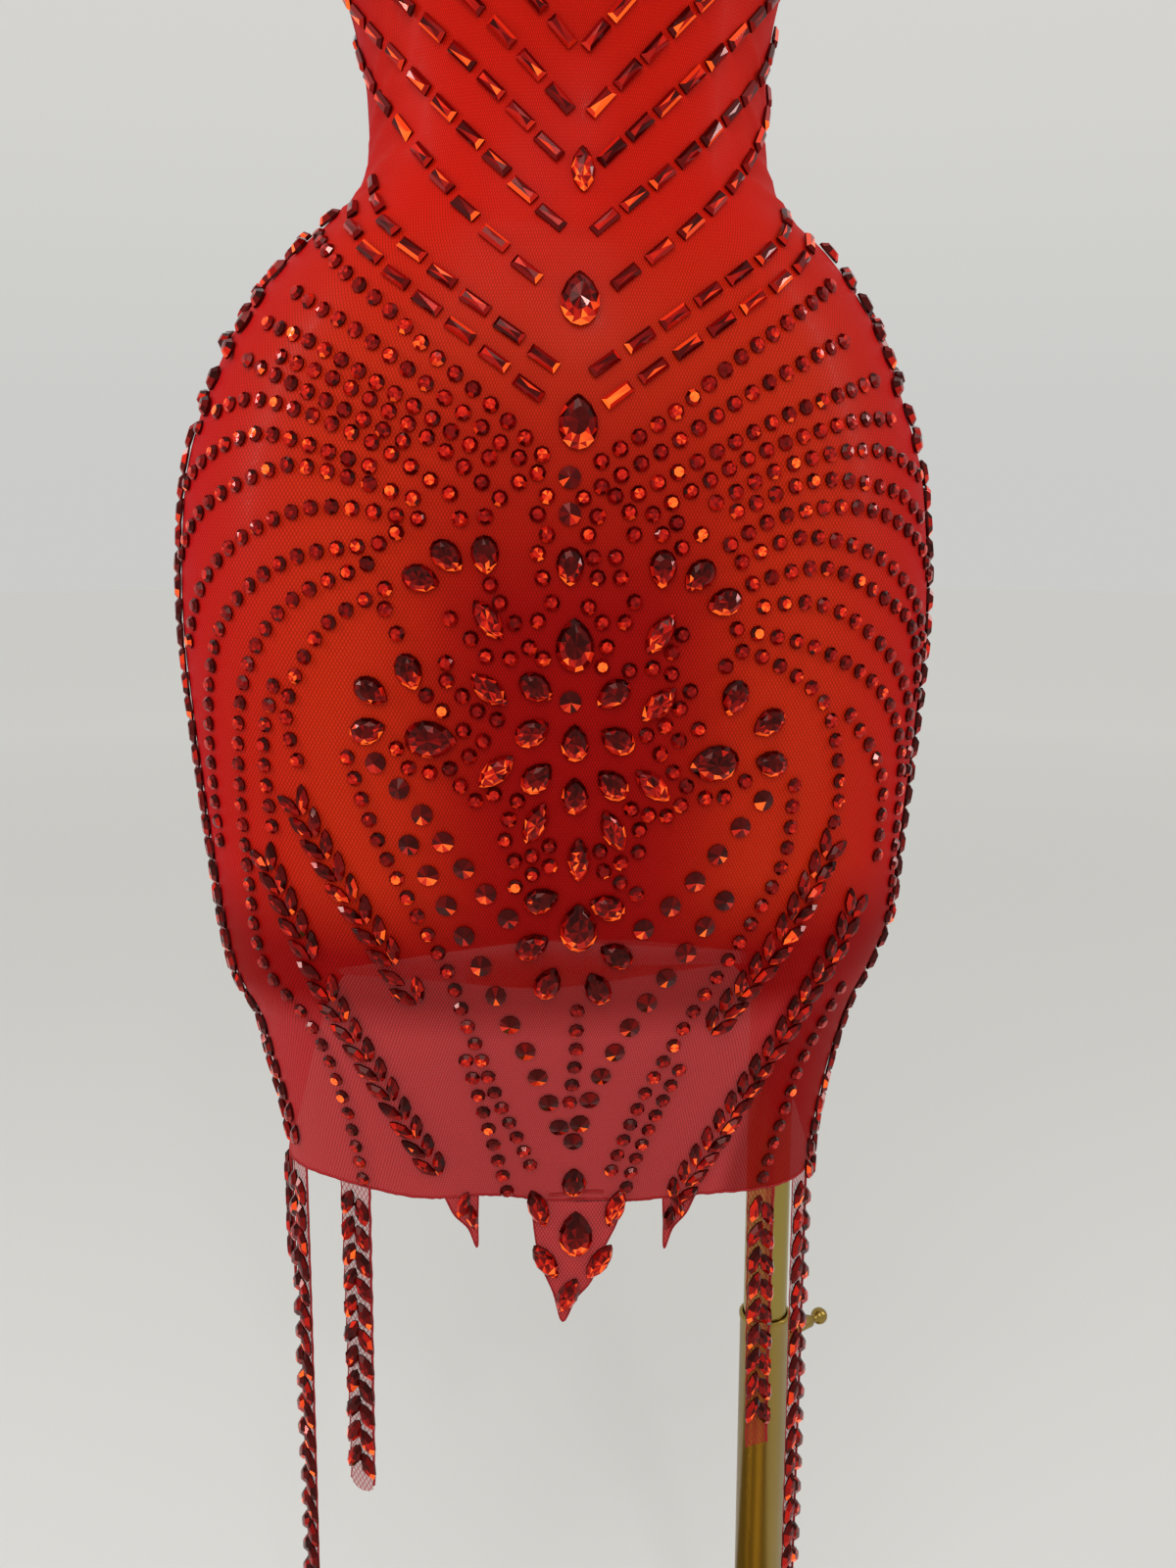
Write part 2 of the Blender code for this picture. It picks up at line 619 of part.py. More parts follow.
def chevron_row(chevron):
    """A chevron leg as a row through its own middle."""
    return Row(chevron.tip_bearing, chevron.tip_station,
               (chevron.tip_bearing + chevron.end_bearing) / 2,
               (chevron.tip_station + chevron.end_station) / 2,
               chevron.end_bearing, chevron.end_station, chevron.pitch)


def add_mirrored(panel, kind, bearing, station, heading):
    """The same stone on both halves, the right one hanging a little lower."""
    for side in (1, -1):
        down = station + tilt(side, bearing, station)
        panel.add(kind, side * math.radians(bearing), down, side * heading)


def front_stones(panel):
    """Centre column, flower, vines, chevrons and large rounds of the front."""
    for stone in CENTRE_STONES:
        panel.add(stone.kind, math.radians(stone.bearing), stone.station, stone.heading)
    for stone in FLOWER:
        add_mirrored(panel, stone.kind, stone.bearing, stone.station, stone.heading)
    for vine in VINES:
        for bearing, station, heading in along_row(vine):
            for side in (1, -1):
                across = turned((side * LEAF_SIDE, 0.0), heading)
                spot = lay_on_body(math.radians(bearing), station, across)
                leaf_heading = heading - side * LEAF_SPLAY
                add_mirrored(panel, "leaf", math.degrees(spot[0]), spot[1], leaf_heading)
    for chevron in CHEVRONS:
        for bearing, station, heading in along_row(chevron_row(chevron)):
            add_mirrored(panel, "baguette", bearing, station, heading)
    for row in ROUND_ROWS:
        for bearing, station, heading in along_row(row):
            add_mirrored(panel, "round", bearing, station, heading)


def back_stones(panel):
    """The chevrons that run round from the front."""
    for chevron in BACK_CHEVRONS:
        for bearing, station, heading in along_row(chevron_row(chevron)):
            panel.add("baguette", math.radians(bearing), station, heading)
            panel.add("baguette", math.tau - math.radians(bearing), station, -heading)


def strip_rules(bearing):
    """Place and lay rules of a piece that hangs straight down from the hem."""
    centre = math.radians(bearing)
    reach = skin_frame(centre, hem_station(centre))[1].length

    def place(across, height, out):
        turn = centre + across / reach
        station = hem_station(turn)
        point, along, _, _ = skin_frame(turn, station)
        outward = along.cross(Vector((0, 0, 1))).normalized()
        return point + outward * out + Vector((0, 0, height))

    def lay(across, height, local):
        return across + local[0], height + local[1]

    return place, lay


def top_edge(right, left, height):
    """Points between two upper corners, close enough to follow the wavy hem."""
    count = math.ceil((right - left) / TOP_STEP)
    return [(right + (left - right) * k / count, height) for k in range(1, count)]


def tail(row, material):
    """A long strip with paired leaves."""
    place, lay = strip_rules(row.bearing)
    top, end = row.top_width / 2, row.end_width / 2

    def edge(part, side):
        middle = row.drift * part * part
        return middle + side * (top + (end - top) * part), -TAIL_GAP - row.length * part

    rows = [k / TAIL_ROWS for k in range(TAIL_ROWS + 1)]
    left = [edge(part, -1) for part in rows]
    right = [edge(part, 1) for part in reversed(rows)]
    if row.end == "round":
        middle = row.drift
        turn = [math.radians(a) for a in ROUNDED_END]
        drop = -TAIL_GAP - row.length
        depth = end * TAIL_ROUNDING
        bottom = [(middle + end * math.cos(a), drop + depth * math.sin(a)) for a in turn]
    else:
        bottom = []
    outline = left + bottom + right + top_edge(top, -top, -TAIL_GAP)
    grid = [(row.drift * part * part, -TAIL_GAP - row.length * part) for part in rows]
    panel = Panel(row.name, outline, grid, place, lay, 1.0)
    count = int((row.length - TAIL_SPARE) / TAIL_PITCH)
    for k in range(count):
        down = TAIL_FIRST + k * TAIL_PITCH
        part = down / row.length
        middle = row.drift * part * part
        panel.add("leaf", middle - TAIL_LEAF_SIDE, -down, 180 + TAIL_SPLAY)
        panel.add("leaf", middle + TAIL_LEAF_SIDE, -down - TAIL_STAGGER, 180 - TAIL_SPLAY)
    return panel.build(material)


def pointed_end(row, material):
    """A short pointed piece below the hem."""
    place, lay = strip_rules(row.bearing)
    flip = -1 if row.mirrored else 1
    outline = [(flip * p.across, -TAIL_GAP - p.down) for p in row.outline]
    if row.mirrored:
        outline.reverse()
    outline += top_edge(outline[-1][0], outline[0][0], -TAIL_GAP)
    panel = Panel(row.name, outline, [], place, lay, 1.0)
    for stone in row.stones:
        panel.add(stone.kind, flip * stone.across, -TAIL_GAP - stone.down, flip * stone.heading)
    return panel.build(material)


def form_point(bearing, station):
    """A point on the form, just inside the cloth."""
    point, _, _, normal = skin_frame(bearing, station)
    part = min(max((station - SHOULDER_FROM) / (SHOULDER_TO - SHOULDER_FROM), 0.0), 1.0)
    return point - normal * (FORM_GAP + (SHOULDER_GAP - FORM_GAP) * part)


def form_torso(material):
    """A smooth limbless torso with a slanted, arched underside."""
    bearings = column_bearings(-180, 180, 2 * HALF_COLUMNS)[:-1]
    first = next(k for k, station in enumerate(STATIONS) if station > RIM_FRONT + RIM_CLEARANCE)
    mean = (RIM_FRONT + RIM_BACK) / 2
    mesh = bmesh.new()
    rings = []
    for k in range(RIM_RINGS):
        ring = []
        for bearing in bearings:
            rim = mean + (RIM_FRONT - RIM_BACK) / 2 * math.cos(bearing)
            station = rim + (STATIONS[first] - rim) * k / RIM_RINGS
            ring.append(mesh.verts.new(form_point(bearing, station)))
        rings.append(ring)
    for station in STATIONS[first:]:
        rings.append([mesh.verts.new(form_point(bearing, station)) for bearing in bearings])
    for low, high in zip(rings, rings[1:]):
        for k in range(len(bearings)):
            n = (k + 1) % len(bearings)
            mesh.faces.new((low[k], low[n], high[n], high[k]))
    mesh.faces.new(rings[-1])
    middle = mesh.verts.new((0.0, CROWN_BACK, mean + CROWN_RISE))
    for k in range(len(bearings)):
        n = (k + 1) % len(bearings)
        mesh.faces.new((middle, rings[0][n], rings[0][k]))
    torso = finish_mesh("form_torso", mesh, material)
    socket = cylinder("socket_cutter", SOCKET_RADIUS, SOCKET_BOTTOM, MAST_TOP + FIT_GAP, None)
    cut = torso.modifiers.new("socket", "BOOLEAN")
    cut.operation = "DIFFERENCE"
    cut.object = socket
    return torso


def cylinder(name, radius, bottom, top, material):
    """An upright cylinder on the pole's axis; with no material it is a cutter."""
    mesh = bmesh.new()
    bmesh.ops.create_cone(mesh, cap_ends=True, segments=TUBE_SIDES, radius1=radius,
                          radius2=radius, depth=top - bottom)
    bmesh.ops.translate(mesh, verts=mesh.verts, vec=(POLE_X, POLE_Y, (top + bottom) / 2))
    if material:
        return finish_mesh(name, mesh, material)
    data = bpy.data.meshes.new(name)
    mesh.to_mesh(data)
    mesh.free()
    cutter = bpy.data.objects.new(name, data)
    bpy.data.collections[CUTTERS].objects.link(cutter)
    cutter.hide_render = True
    cutter.display_type = "WIRE"
    return cutter


def turned_part(name, profile, closed, steps, material, place, axis=None):
    """A profile of radius and height pairs turned about an axis at a place."""
    mesh = bmesh.new()
    verts = [mesh.verts.new((radius, 0.0, height)) for radius, height in profile]
    for a, b in zip(verts, verts[1:]):
        mesh.edges.new((a, b))
    if closed:
        mesh.edges.new((verts[-1], verts[0]))
    part = finish_mesh(name, mesh, material)
    screw = part.modifiers.new("turn", "SCREW")
    screw.steps = steps
    screw.render_steps = steps
    screw.use_merge_vertices = True
    screw.merge_threshold = MERGE
    screw.use_normal_calculate = False
    part.location = place
    if axis:
        part.rotation_mode = "QUATERNION"
        part.rotation_quaternion = Vector((0, 0, 1)).rotation_difference(Vector(axis))
    return part


def base_plate(material):
    """A round steel plate with an eased upper edge."""
    profile = [(0.0, BASE_THICKNESS), (BASE_RADIUS - PLATE_EASE, BASE_THICKNESS),
               (BASE_RADIUS, BASE_THICKNESS - PLATE_EASE), (BASE_RADIUS, 0.0), (0.0, 0.0)]
    return turned_part("base_plate", profile, False, PLATE_SIDES, material, (0.0, 0.0, 0.0))


def base_flange(material):
    """The foot of the outer tube, a stepped ring on the plate."""
    low = BASE_THICKNESS
    bore = TUBE_RADIUS + FLANGE_CLEARANCE
    profile = [(bore, low + FLANGE_HEIGHT), (bore + FLANGE_RIM, low + FLANGE_HEIGHT),
               (bore + FLANGE_FOOT, low + FLANGE_FOOT), (FLANGE_RADIUS, low + FLANGE_EDGE),
               (FLANGE_RADIUS, low + FIT_GAP), (bore, low + FIT_GAP)]
    return turned_part("base_flange", profile, True, TUBE_SIDES, material, (POLE_X, POLE_Y, 0.0))


def stand_tube(material):
    """The outer tube, open at both ends."""
    bottom = BASE_THICKNESS + FIT_GAP
    profile = [(TUBE_BORE, TUBE_TOP), (TUBE_RADIUS, TUBE_TOP),
               (TUBE_RADIUS + LIP_RISE, TUBE_TOP - TUBE_LIP / 2),
               (TUBE_RADIUS, TUBE_TOP - TUBE_LIP), (TUBE_RADIUS, bottom), (TUBE_BORE, bottom)]
    return turned_part("stand_tube", profile, True, TUBE_SIDES, material, (POLE_X, POLE_Y, 0.0))


def screw_axis():
    """The unit vector along the clamp screw, out of the tube."""
    angle = math.radians(SCREW_BEARING)
    return math.cos(angle), math.sin(angle), 0.0


def screw_boss(material):
    """A ribbed collar on the tube that the clamp screw runs through."""
    inner = SCREW_STEM + SCREW_CLEARANCE
    start = TUBE_RADIUS + FIT_GAP
    outer = [(BOSS_RADIUS, BOSS_REACH)]
    for k in range(2):
        middle = BOSS_REACH - RIB_FIRST - k * RIB_PITCH
        outer += [(BOSS_RADIUS, middle + RIB_DEPTH), (BOSS_RADIUS - RIB_DEPTH, middle),
                  (BOSS_RADIUS, middle - RIB_DEPTH)]
    profile = [(inner, BOSS_REACH)] + outer + [(BOSS_RADIUS, start), (inner, start)]
    place = (POLE_X, POLE_Y, BOSS_HEIGHT)
    return turned_part("screw_boss", profile, True, SMALL_SIDES, material, place, screw_axis())


def clamp_screw(material):
    """A plain stem outside the tube with a shank and a ball."""
    ball = [(SCREW_BALL * math.sin(a), SCREW_REACH + SCREW_BALL * math.cos(a))
            for a in [math.radians(d) for d in range(0, 141, 20)]]
    ball[0] = (0.0, ball[0][1])
    neck = SCREW_REACH - SCREW_BALL - SHOULDER
    profile = ball + [(SCREW_STEM, neck), (SCREW_SHANK, neck - SHOULDER),
                      (SCREW_SHANK, BOSS_REACH + FIT_GAP), (SCREW_STEM, BOSS_REACH + FIT_GAP),
                      (SCREW_STEM, TUBE_RADIUS + FIT_GAP), (0.0, TUBE_RADIUS + FIT_GAP)]
    place = (POLE_X, POLE_Y, BOSS_HEIGHT)
    return turned_part("clamp_screw", profile, False, SMALL_SIDES, material, place, screw_axis())


def main():
    """Clear the scene and build every piece."""
    for item in list(bpy.data.objects):
        bpy.data.objects.remove(item, do_unlink=True)
    for name in (COLLECTION, CUTTERS):
        bpy.context.scene.collection.children.link(bpy.data.collections.new(name))
    net = make_material("red_mesh", MESH_RED, 0.45)
    shell = make_material("form_shell", FORM_TAN, 0.18)
    brass = make_material("stand_brass", BRASS, 0.22, 1.0)

    body_panel("dress_front", 0.0, ARMHOLE_FRONT, NECK_FRONT, NECK_MIDDLE_FRONT, net,
               front_stones)
    body_panel("dress_back", math.pi, ARMHOLE_BACK, NECK_BACK, NECK_MIDDLE_BACK, net,
               back_stones)
    for row in TAILS:
        tail(row, net)
    for row in POINTS:
        pointed_end(row, net)
    form_torso(shell)
    cylinder("stand_mast", MAST_RADIUS, MAST_BOTTOM, MAST_TOP, brass)
    stand_tube(brass)
    screw_boss(brass)
    clamp_screw(brass)
    base_plate(brass)
    base_flange(brass)


main()
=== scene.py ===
import math
import random

import bpy
import numpy as np
from mathutils import Matrix, Vector
from mathutils.geometry import delaunay_2d_cdt


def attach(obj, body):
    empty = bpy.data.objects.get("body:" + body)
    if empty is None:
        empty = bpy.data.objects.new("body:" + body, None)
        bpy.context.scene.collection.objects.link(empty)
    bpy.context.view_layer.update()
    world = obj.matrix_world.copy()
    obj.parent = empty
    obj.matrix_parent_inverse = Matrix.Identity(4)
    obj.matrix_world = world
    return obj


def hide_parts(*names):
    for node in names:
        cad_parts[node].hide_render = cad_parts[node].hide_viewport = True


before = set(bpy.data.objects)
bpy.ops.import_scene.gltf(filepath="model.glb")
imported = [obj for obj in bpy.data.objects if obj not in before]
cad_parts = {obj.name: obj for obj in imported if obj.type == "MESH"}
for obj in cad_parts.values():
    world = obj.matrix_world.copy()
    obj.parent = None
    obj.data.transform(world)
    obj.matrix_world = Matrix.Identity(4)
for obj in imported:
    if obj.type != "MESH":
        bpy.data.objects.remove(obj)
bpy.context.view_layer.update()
print("frame loaded")

# Bearing: degrees about the upright axis, 0 at centre front, + to the right.
# Station: height on the body, and above the bust the length along the cloth.
# Tables marked mm are in millimetres, all else is in metres.
body = {
    "sections": [  # mm: station, height, half width, front, back, squareness (no unit), shift
        (484, 484, 146.5, 66, 82, 2.6, -3), (512, 512, 146.5, 73, 90, 2.5, -3),
        (540, 540, 150, 82, 98, 2.4, -3), (568, 568, 156, 91, 106, 2.3, -3),
        (592, 592, 162, 98, 112, 2.3, -2), (612, 612, 172.5, 103, 117, 2.2, -2),
        (636, 636, 179.5, 107, 122, 2.2, 0), (674, 674, 183.5, 111, 128, 2.2, 0),
        (718, 718, 187.5, 115, 134, 2.2, 0), (760, 760, 191, 117, 139, 2.2, 0),
        (800, 800, 193, 118, 142, 2.2, 0), (838, 838, 191.5, 117, 142, 2.2, 0),
        (876, 876, 186.5, 115, 138, 2.2, 0), (905, 905, 177, 112, 131, 2.2, 0),
        (932, 932, 165.5, 108, 121, 2.2, 1), (957, 957, 149.5, 103, 110, 2.2, 2),
        (977, 977, 132, 98, 100, 2.2, 3), (994, 994, 112, 92, 90, 2.2, 4),
        (1010, 1010, 101, 88, 84, 2.2, 5), (1050, 1050, 97, 84, 79, 2.2, 5),
        (1080, 1080, 100.5, 86, 80, 2.2, 4), (1110, 1110, 108, 90, 83, 2.2, 3),
        (1160, 1160, 121, 96, 88, 2.2, 1), (1185, 1185, 127, 98.5, 90, 2.2, 0),
        (1210, 1210, 133, 101, 92, 2.2, 0), (1235, 1235, 138.2, 102.3, 93.6, 2.2, 0),
        (1260, 1260, 143, 103, 95, 2.2, 0), (1285, 1285, 147.2, 100.5, 95.6, 2.2, 0),
        (1310, 1310, 151, 97, 96, 2.2, 0), (1330, 1330, 154.3, 90.5, 93.8, 2.2, 0),
        (1350, 1350, 157, 83, 91, 2.3, 0), (1385, 1382, 156, 68, 80, 2.3, 0),
        (1425, 1405, 133, 57, 68, 2.2, 0), (1465, 1422, 102, 50, 59, 2.1, 0),
        (1500, 1438, 74, 47, 53, 2.0, 0), (1530, 1460, 57, 46, 50, 2.0, 0),
        (1570, 1500, 52, 45, 48, 2.0, 0)
    ],
    "bust": (35.0, 1.245, 20.0, 0.050, 0.020),  # bearing, station, spread, rise, depth
    "ripple": (0.0022, 7, 0.570, 0.6),  # depth, folds, where they start, turn
    "hem": (0.500, 0.005, 0.0014, 9),  # station, drop to the right, wave, waves
    "backRise": (0.080, 92.0, 128.0),  # how far the hem climbs at the back, and between which bearings
}
table = np.array(body["sections"]) / (1000, 1000, 1000, 1000, 1000, 1, 1000)


def readColumn(column, station):
    xs, ys = table[:, 0], table[:, column]
    x = np.clip(station, xs[0], xs[-1])
    i = np.clip(np.searchsorted(xs, x) - 1, 0, len(xs) - 2)
    d = np.diff(ys) / np.diff(xs)
    m = np.concatenate([[d[0]], (d[1:] + d[:-1]) / 2, [d[-1]]])
    h = xs[i + 1] - xs[i]
    t = (x - xs[i]) / h
    return ((2 * t**3 - 3 * t**2 + 1) * ys[i] + (t**3 - 2 * t**2 + t) * m[i] * h
            + (3 * t**2 - 2 * t**3) * ys[i + 1] + (t**3 - t**2) * m[i + 1] * h)


def skin(bearing, station):
    # inner face of the cloth, bearing in radians
    bearing, station = np.asarray(bearing, float), np.asarray(station, float)
    z, half, front, back, square, shift = (readColumn(k, station) for k in range(1, 7))
    si, co = np.sin(bearing), np.cos(bearing)
    depth = np.where(co > 0, front, back)
    r = ((np.abs(si) / half) ** square + (np.abs(co) / depth) ** square) ** (-1 / square)
    at, level, spread, rise, bulge = body["bust"]
    aside = (np.abs(np.arctan2(si, co)) - math.radians(at)) / math.radians(spread)
    r = r + bulge * np.exp(-aside**2 - ((station - level) / rise) ** 2)
    deep, folds, top, turn = body["ripple"]
    fade = np.clip((top - station) / (top - body["hem"][0]), 0, 1)
    r = r + deep * fade**2 * np.sin(folds * bearing + turn)
    return np.stack([shift + r * si, -r * co, z], -1)


def skinFrame(bearing, station):
    e = 1e-4
    along = (skin(bearing + e, station) - skin(bearing - e, station)) / (2 * e)
    up = (skin(bearing, station + e) - skin(bearing, station - e)) / (2 * e)
    out = np.cross(along, up)
    out = out / np.linalg.norm(out, axis=-1, keepdims=True)
    return skin(bearing, station), along, up, out


def hemStation(bearing):
    base, drop, wave, waves = body["hem"]
    rise, first, last = body["backRise"]
    away = np.degrees(np.abs(np.arctan2(np.sin(bearing), np.cos(bearing))))
    part = np.clip((away - first) / (last - first), 0, 1)
    return base - drop * np.sin(bearing) + wave * np.sin(waves * bearing) + rise * part**2 * (3 - 2 * part)


# small creases in mm: from bearing, station to bearing, station, half width, height
creases = np.array([
    (-78, 1000, -48, 1020, 3.2, 1.3), (-80, 1012, -54, 1038, 2.8, 1), (-84, 1024, -50, 1058, 3.4, 1.2),
    (-76, 1045, -46, 1086, 3, 0.8), (-82, 990, -58, 999, 2.6, 1.1), (80, 994, 52, 1003, 2.8, 1.2),
    (84, 1006, 48, 1022, 3.2, 1), (78, 1022, 50, 1046, 2.8, 0.9), (82, 1040, 52, 1074, 3, 0.8),
    (-22, 976, 18, 974, 3.4, 0.8), (-14, 966, 22, 968, 2.8, 0.6), (-86, 938, -60, 918, 3.6, 1.2),
    (28, 900, 36, 820, 4, 0.7), (44, 890, 46, 800, 5, 0.6), (-44, 880, -40, 790, 5, 0.6),
    (150, 1004, 196, 1010, 3.6, 1), (156, 1026, 208, 1022, 3.2, 0.8), (146, 1048, 190, 1056, 3, 0.8),
    (100, 996, 132, 1008, 3, 1), (228, 1006, 258, 994, 3, 1), (98, 1020, 128, 1042, 2.8, 0.8),
    (232, 1036, 262, 1018, 2.8, 0.8), (172, 905, 176, 800, 5, 0.7), (188, 880, 184, 770, 5, 0.6)
]) / (1, 1000, 1, 1000, 1000, 1000)
creaseLook = {"radius": 0.11, "gain": 1.6, "ends": (0.08, 0.84)}  # the ends fade, never quite to nothing


def creaseLift(bearing, station):
    lift = np.zeros(np.broadcast(bearing, station).shape)
    radius = creaseLook["radius"]
    first, span = creaseLook["ends"]
    x, y = np.asarray(bearing) * radius, np.asarray(station)
    for fromBearing, ay, toBearing, by, width, height in creases:
        ax, bx = math.radians(fromBearing) * radius, math.radians(toBearing) * radius
        length2 = (bx - ax) ** 2 + (by - ay) ** 2
        t = np.clip(((x - ax) * (bx - ax) + (y - ay) * (by - ay)) / length2, 0, 1)
        away2 = (x - ax - t * (bx - ax)) ** 2 + (y - ay - t * (by - ay)) ** 2
        fade = np.sin(math.pi * (first + span * t))
        lift += creaseLook["gain"] * height * np.exp(-away2 / width**2) * fade
    return lift


def onCloth(bearing, station, out):
    p, _, _, n = skinFrame(bearing, station)
    return p + n * (out + creaseLift(bearing, station))[..., None]


def selectNone():
    bpy.ops.object.select_all(action="DESELECT")


def newPiece(name, points, faces, material, smooth=True):
    mesh = bpy.data.meshes.new(name)
    mesh.from_pydata([tuple(p) for p in points], [], faces)
    mesh.update()
    mesh.materials.append(material)
    if smooth:
        mesh.polygons.foreach_set("use_smooth", [True] * len(mesh.polygons))
    piece = bpy.data.objects.new(name, mesh)
    bpy.context.scene.collection.objects.link(piece)
    return piece


def applyModifiers(piece):
    selectNone()
    piece.select_set(True)
    bpy.context.view_layer.objects.active = piece
    for modifier in list(piece.modifiers):
        bpy.ops.object.modifier_apply(modifier=modifier.name)


# finishes


def wire(node, inputs):
    # sets a node's inputs to values, or links them to other nodes' outputs
    for key, value in inputs.items():
        if isinstance(value, bpy.types.NodeSocket):
            node.id_data.links.new(value, node.inputs[key])
        else:
            node.inputs[key].default_value = value


def addNode(tree, kind, inputs, **settings):
    node = tree.nodes.new("ShaderNode" + kind)
    for name, value in settings.items():
        setattr(node, name, value)
    wire(node, inputs)
    return node


def mapTo(tree, value, span):
    return addNode(tree, "MapRange", {"Value": value, "To Min": span[0], "To Max": span[1]}).outputs["Result"]


def mixColour(tree, factor, low, high):
    inputs = {"Factor": factor, "A": (*low, 1), "B": (*high, 1)}
    return addNode(tree, "Mix", inputs, data_type="RGBA").outputs["Result"]


def startGroup(name, inputs, outputs):
    group = bpy.data.node_groups.new(name, "ShaderNodeTree")
    for side, sockets in (("INPUT", inputs), ("OUTPUT", outputs)):
        for label, kind in sockets.items():
            group.interface.new_socket(name=label, in_out=side, socket_type="NodeSocket" + kind)
    return group, group.nodes.new("NodeGroupInput").outputs, group.nodes.new("NodeGroupOutput")


def weaveGroup():
    # two sets of fine threads that cross; gives a thread mask and a height
    group, given, sink = startGroup("netWeave", {"Place": "Vector", "Pitch": "Float", "Cover": "Float"},
                                    {"Thread": "Float", "Height": "Float"})

    def maths(kind, a, b=0.0):
        return addNode(group, "Math", {0: a, 1: b}, operation=kind).outputs[0]

    place = addNode(group, "SeparateXYZ", {0: given["Place"]}).outputs
    lines = []
    for lean in (0.86, -0.86):
        across = maths("ADD", maths("MULTIPLY", place[0], lean), maths("MULTIPLY", place[1], 0.5))
        turns = maths("MULTIPLY", maths("DIVIDE", across, given["Pitch"]), math.pi)
        lines.append(maths("ABSOLUTE", maths("SINE", turns)))
    near = maths("MINIMUM", *lines)
    inputs = {"Value": near, "From Max": given["Cover"], "To Min": 1.0, "To Max": 0.0}
    thread = addNode(group, "MapRange", inputs, interpolation_type="SMOOTHSTEP")
    wire(sink, {"Thread": thread.outputs["Result"], "Height": maths("SUBTRACT", 1.0, near)})
    return group


def marksGroup():
    # soft uneven marks of handling on a hard surface
    group, given, sink = startGroup("handlingMarks", {"Place": "Vector", "Scale": "Float", "Low": "Float",
                                                      "High": "Float"}, {"Rough": "Float"})
    noise = addNode(group, "TexNoise", {"Vector": given["Place"], "Scale": given["Scale"], "Detail": 4.0})
    wire(sink, {"Rough": mapTo(group, noise.outputs["Fac"], (given["Low"], given["High"]))})
    return group


weave = weaveGroup()
marks = marksGroup()


def startMaterial(name):
    material = bpy.data.materials.new(name)
    material.use_nodes = True
    return material, material.node_tree, material.node_tree.nodes["Principled BSDF"]


def netMaterial(name, look):
    material, tree, shader = startMaterial(name)
    place = addNode(tree, "UVMap", {}, uv_map="clothMap").outputs[0]
    net = addNode(tree, "Group", {}, node_tree=weave)
    wire(net, {"Place": place, "Pitch": look["pitch"], "Cover": look["cover"]})
    thread = net.outputs["Thread"]
    slack = addNode(tree, "Attribute", {}, attribute_name="slack").outputs["Fac"]
    # this attribute carries the net's red together with its painted highlight and painted shade
    dyeAndPaintedLight = addNode(tree, "Attribute", {}, attribute_name="dyeAndPaintedLight").outputs["Color"]
    shade = mapTo(tree, thread, look["shades"])
    tint = addNode(tree, "VectorMath", {0: dyeAndPaintedLight, "Scale": shade}, operation="SCALE")
    alpha = addNode(tree, "Mix", {"Factor": thread, "A": mapTo(tree, slack, look["holeAlpha"]),
                                  "B": look["threadAlpha"]})
    bump = addNode(tree, "Bump", {"Strength": 0.25, "Distance": 0.0002, "Height": net.outputs["Height"]})
    wire(shader, {
        "Base Color": tint.outputs[0], "Alpha": alpha.outputs["Result"], "Normal": bump.outputs["Normal"],
        "Coat Weight": mapTo(tree, slack, look["coat"]), "Coat Roughness": 0.30,
        "Coat Tint": (1.0, 0.75, 0.68, 1), "Roughness": 0.6, "Specular IOR Level": look["gloss"],
        "Sheen Weight": 0.02, "Sheen Tint": (1.0, 0.12, 0.16, 1)})
    return material


def crystalMaterial(name, look):
    material, tree, shader = startMaterial(name)
    # the facets' colour: the stones' own red, darkened and brightened facet by facet by painted light
    paintedLight = addNode(tree, "Attribute", {}, attribute_name="paintedLight").outputs["Fac"]
    shade = addNode(tree, "ValToRGB", {"Fac": paintedLight})
    stops = shade.color_ramp.elements
    while len(stops) < len(look["stops"]):
        stops.new(0.5)
    for stop, (place, colour) in zip(stops, look["stops"]):
        stop.position = place
        stop.color = (*colour, 1)
    # painted glow: the brightest facets emit light, standing in for glints caught inside the stones
    paintedGlow = addNode(tree, "ValToRGB", {"Fac": paintedLight})
    first, last = paintedGlow.color_ramp.elements
    first.position = look["paintedGlowFrom"]
    first.color = (0, 0, 0, 1)
    last.color = (*look["paintedGlow"], 1)
    wire(shader, {
        "Base Color": shade.outputs["Color"], "Emission Color": paintedGlow.outputs["Color"],
        "Emission Strength": look["paintedGlowStrength"], "Roughness": look["roughness"],
        "Specular IOR Level": look["gloss"], "Specular Tint": (1.0, 0.42, 0.38, 1)})
    material.cycles.emission_sampling = "NONE"
    return material


def hardMaterial(name, look):
    material, tree, shader = startMaterial(name)
    place = addNode(tree, "TexCoord", {}).outputs["Object"]
    rough = addNode(tree, "Group", {}, node_tree=marks)
    wire(rough, {"Place": place, "Scale": look["scale"], "Low": look["rough"][0], "High": look["rough"][1]})
    cloud = addNode(tree, "TexNoise", {"Vector": place, "Scale": look["scale"] * 0.4})
    wire(shader, {
        "Base Color": mixColour(tree, cloud.outputs["Fac"], look["dark"], look["light"]),
        "Roughness": rough.outputs["Rough"], "Metallic": look["metallic"],
        "Coat Weight": look["coat"], "Coat Roughness": 0.08})
    return material


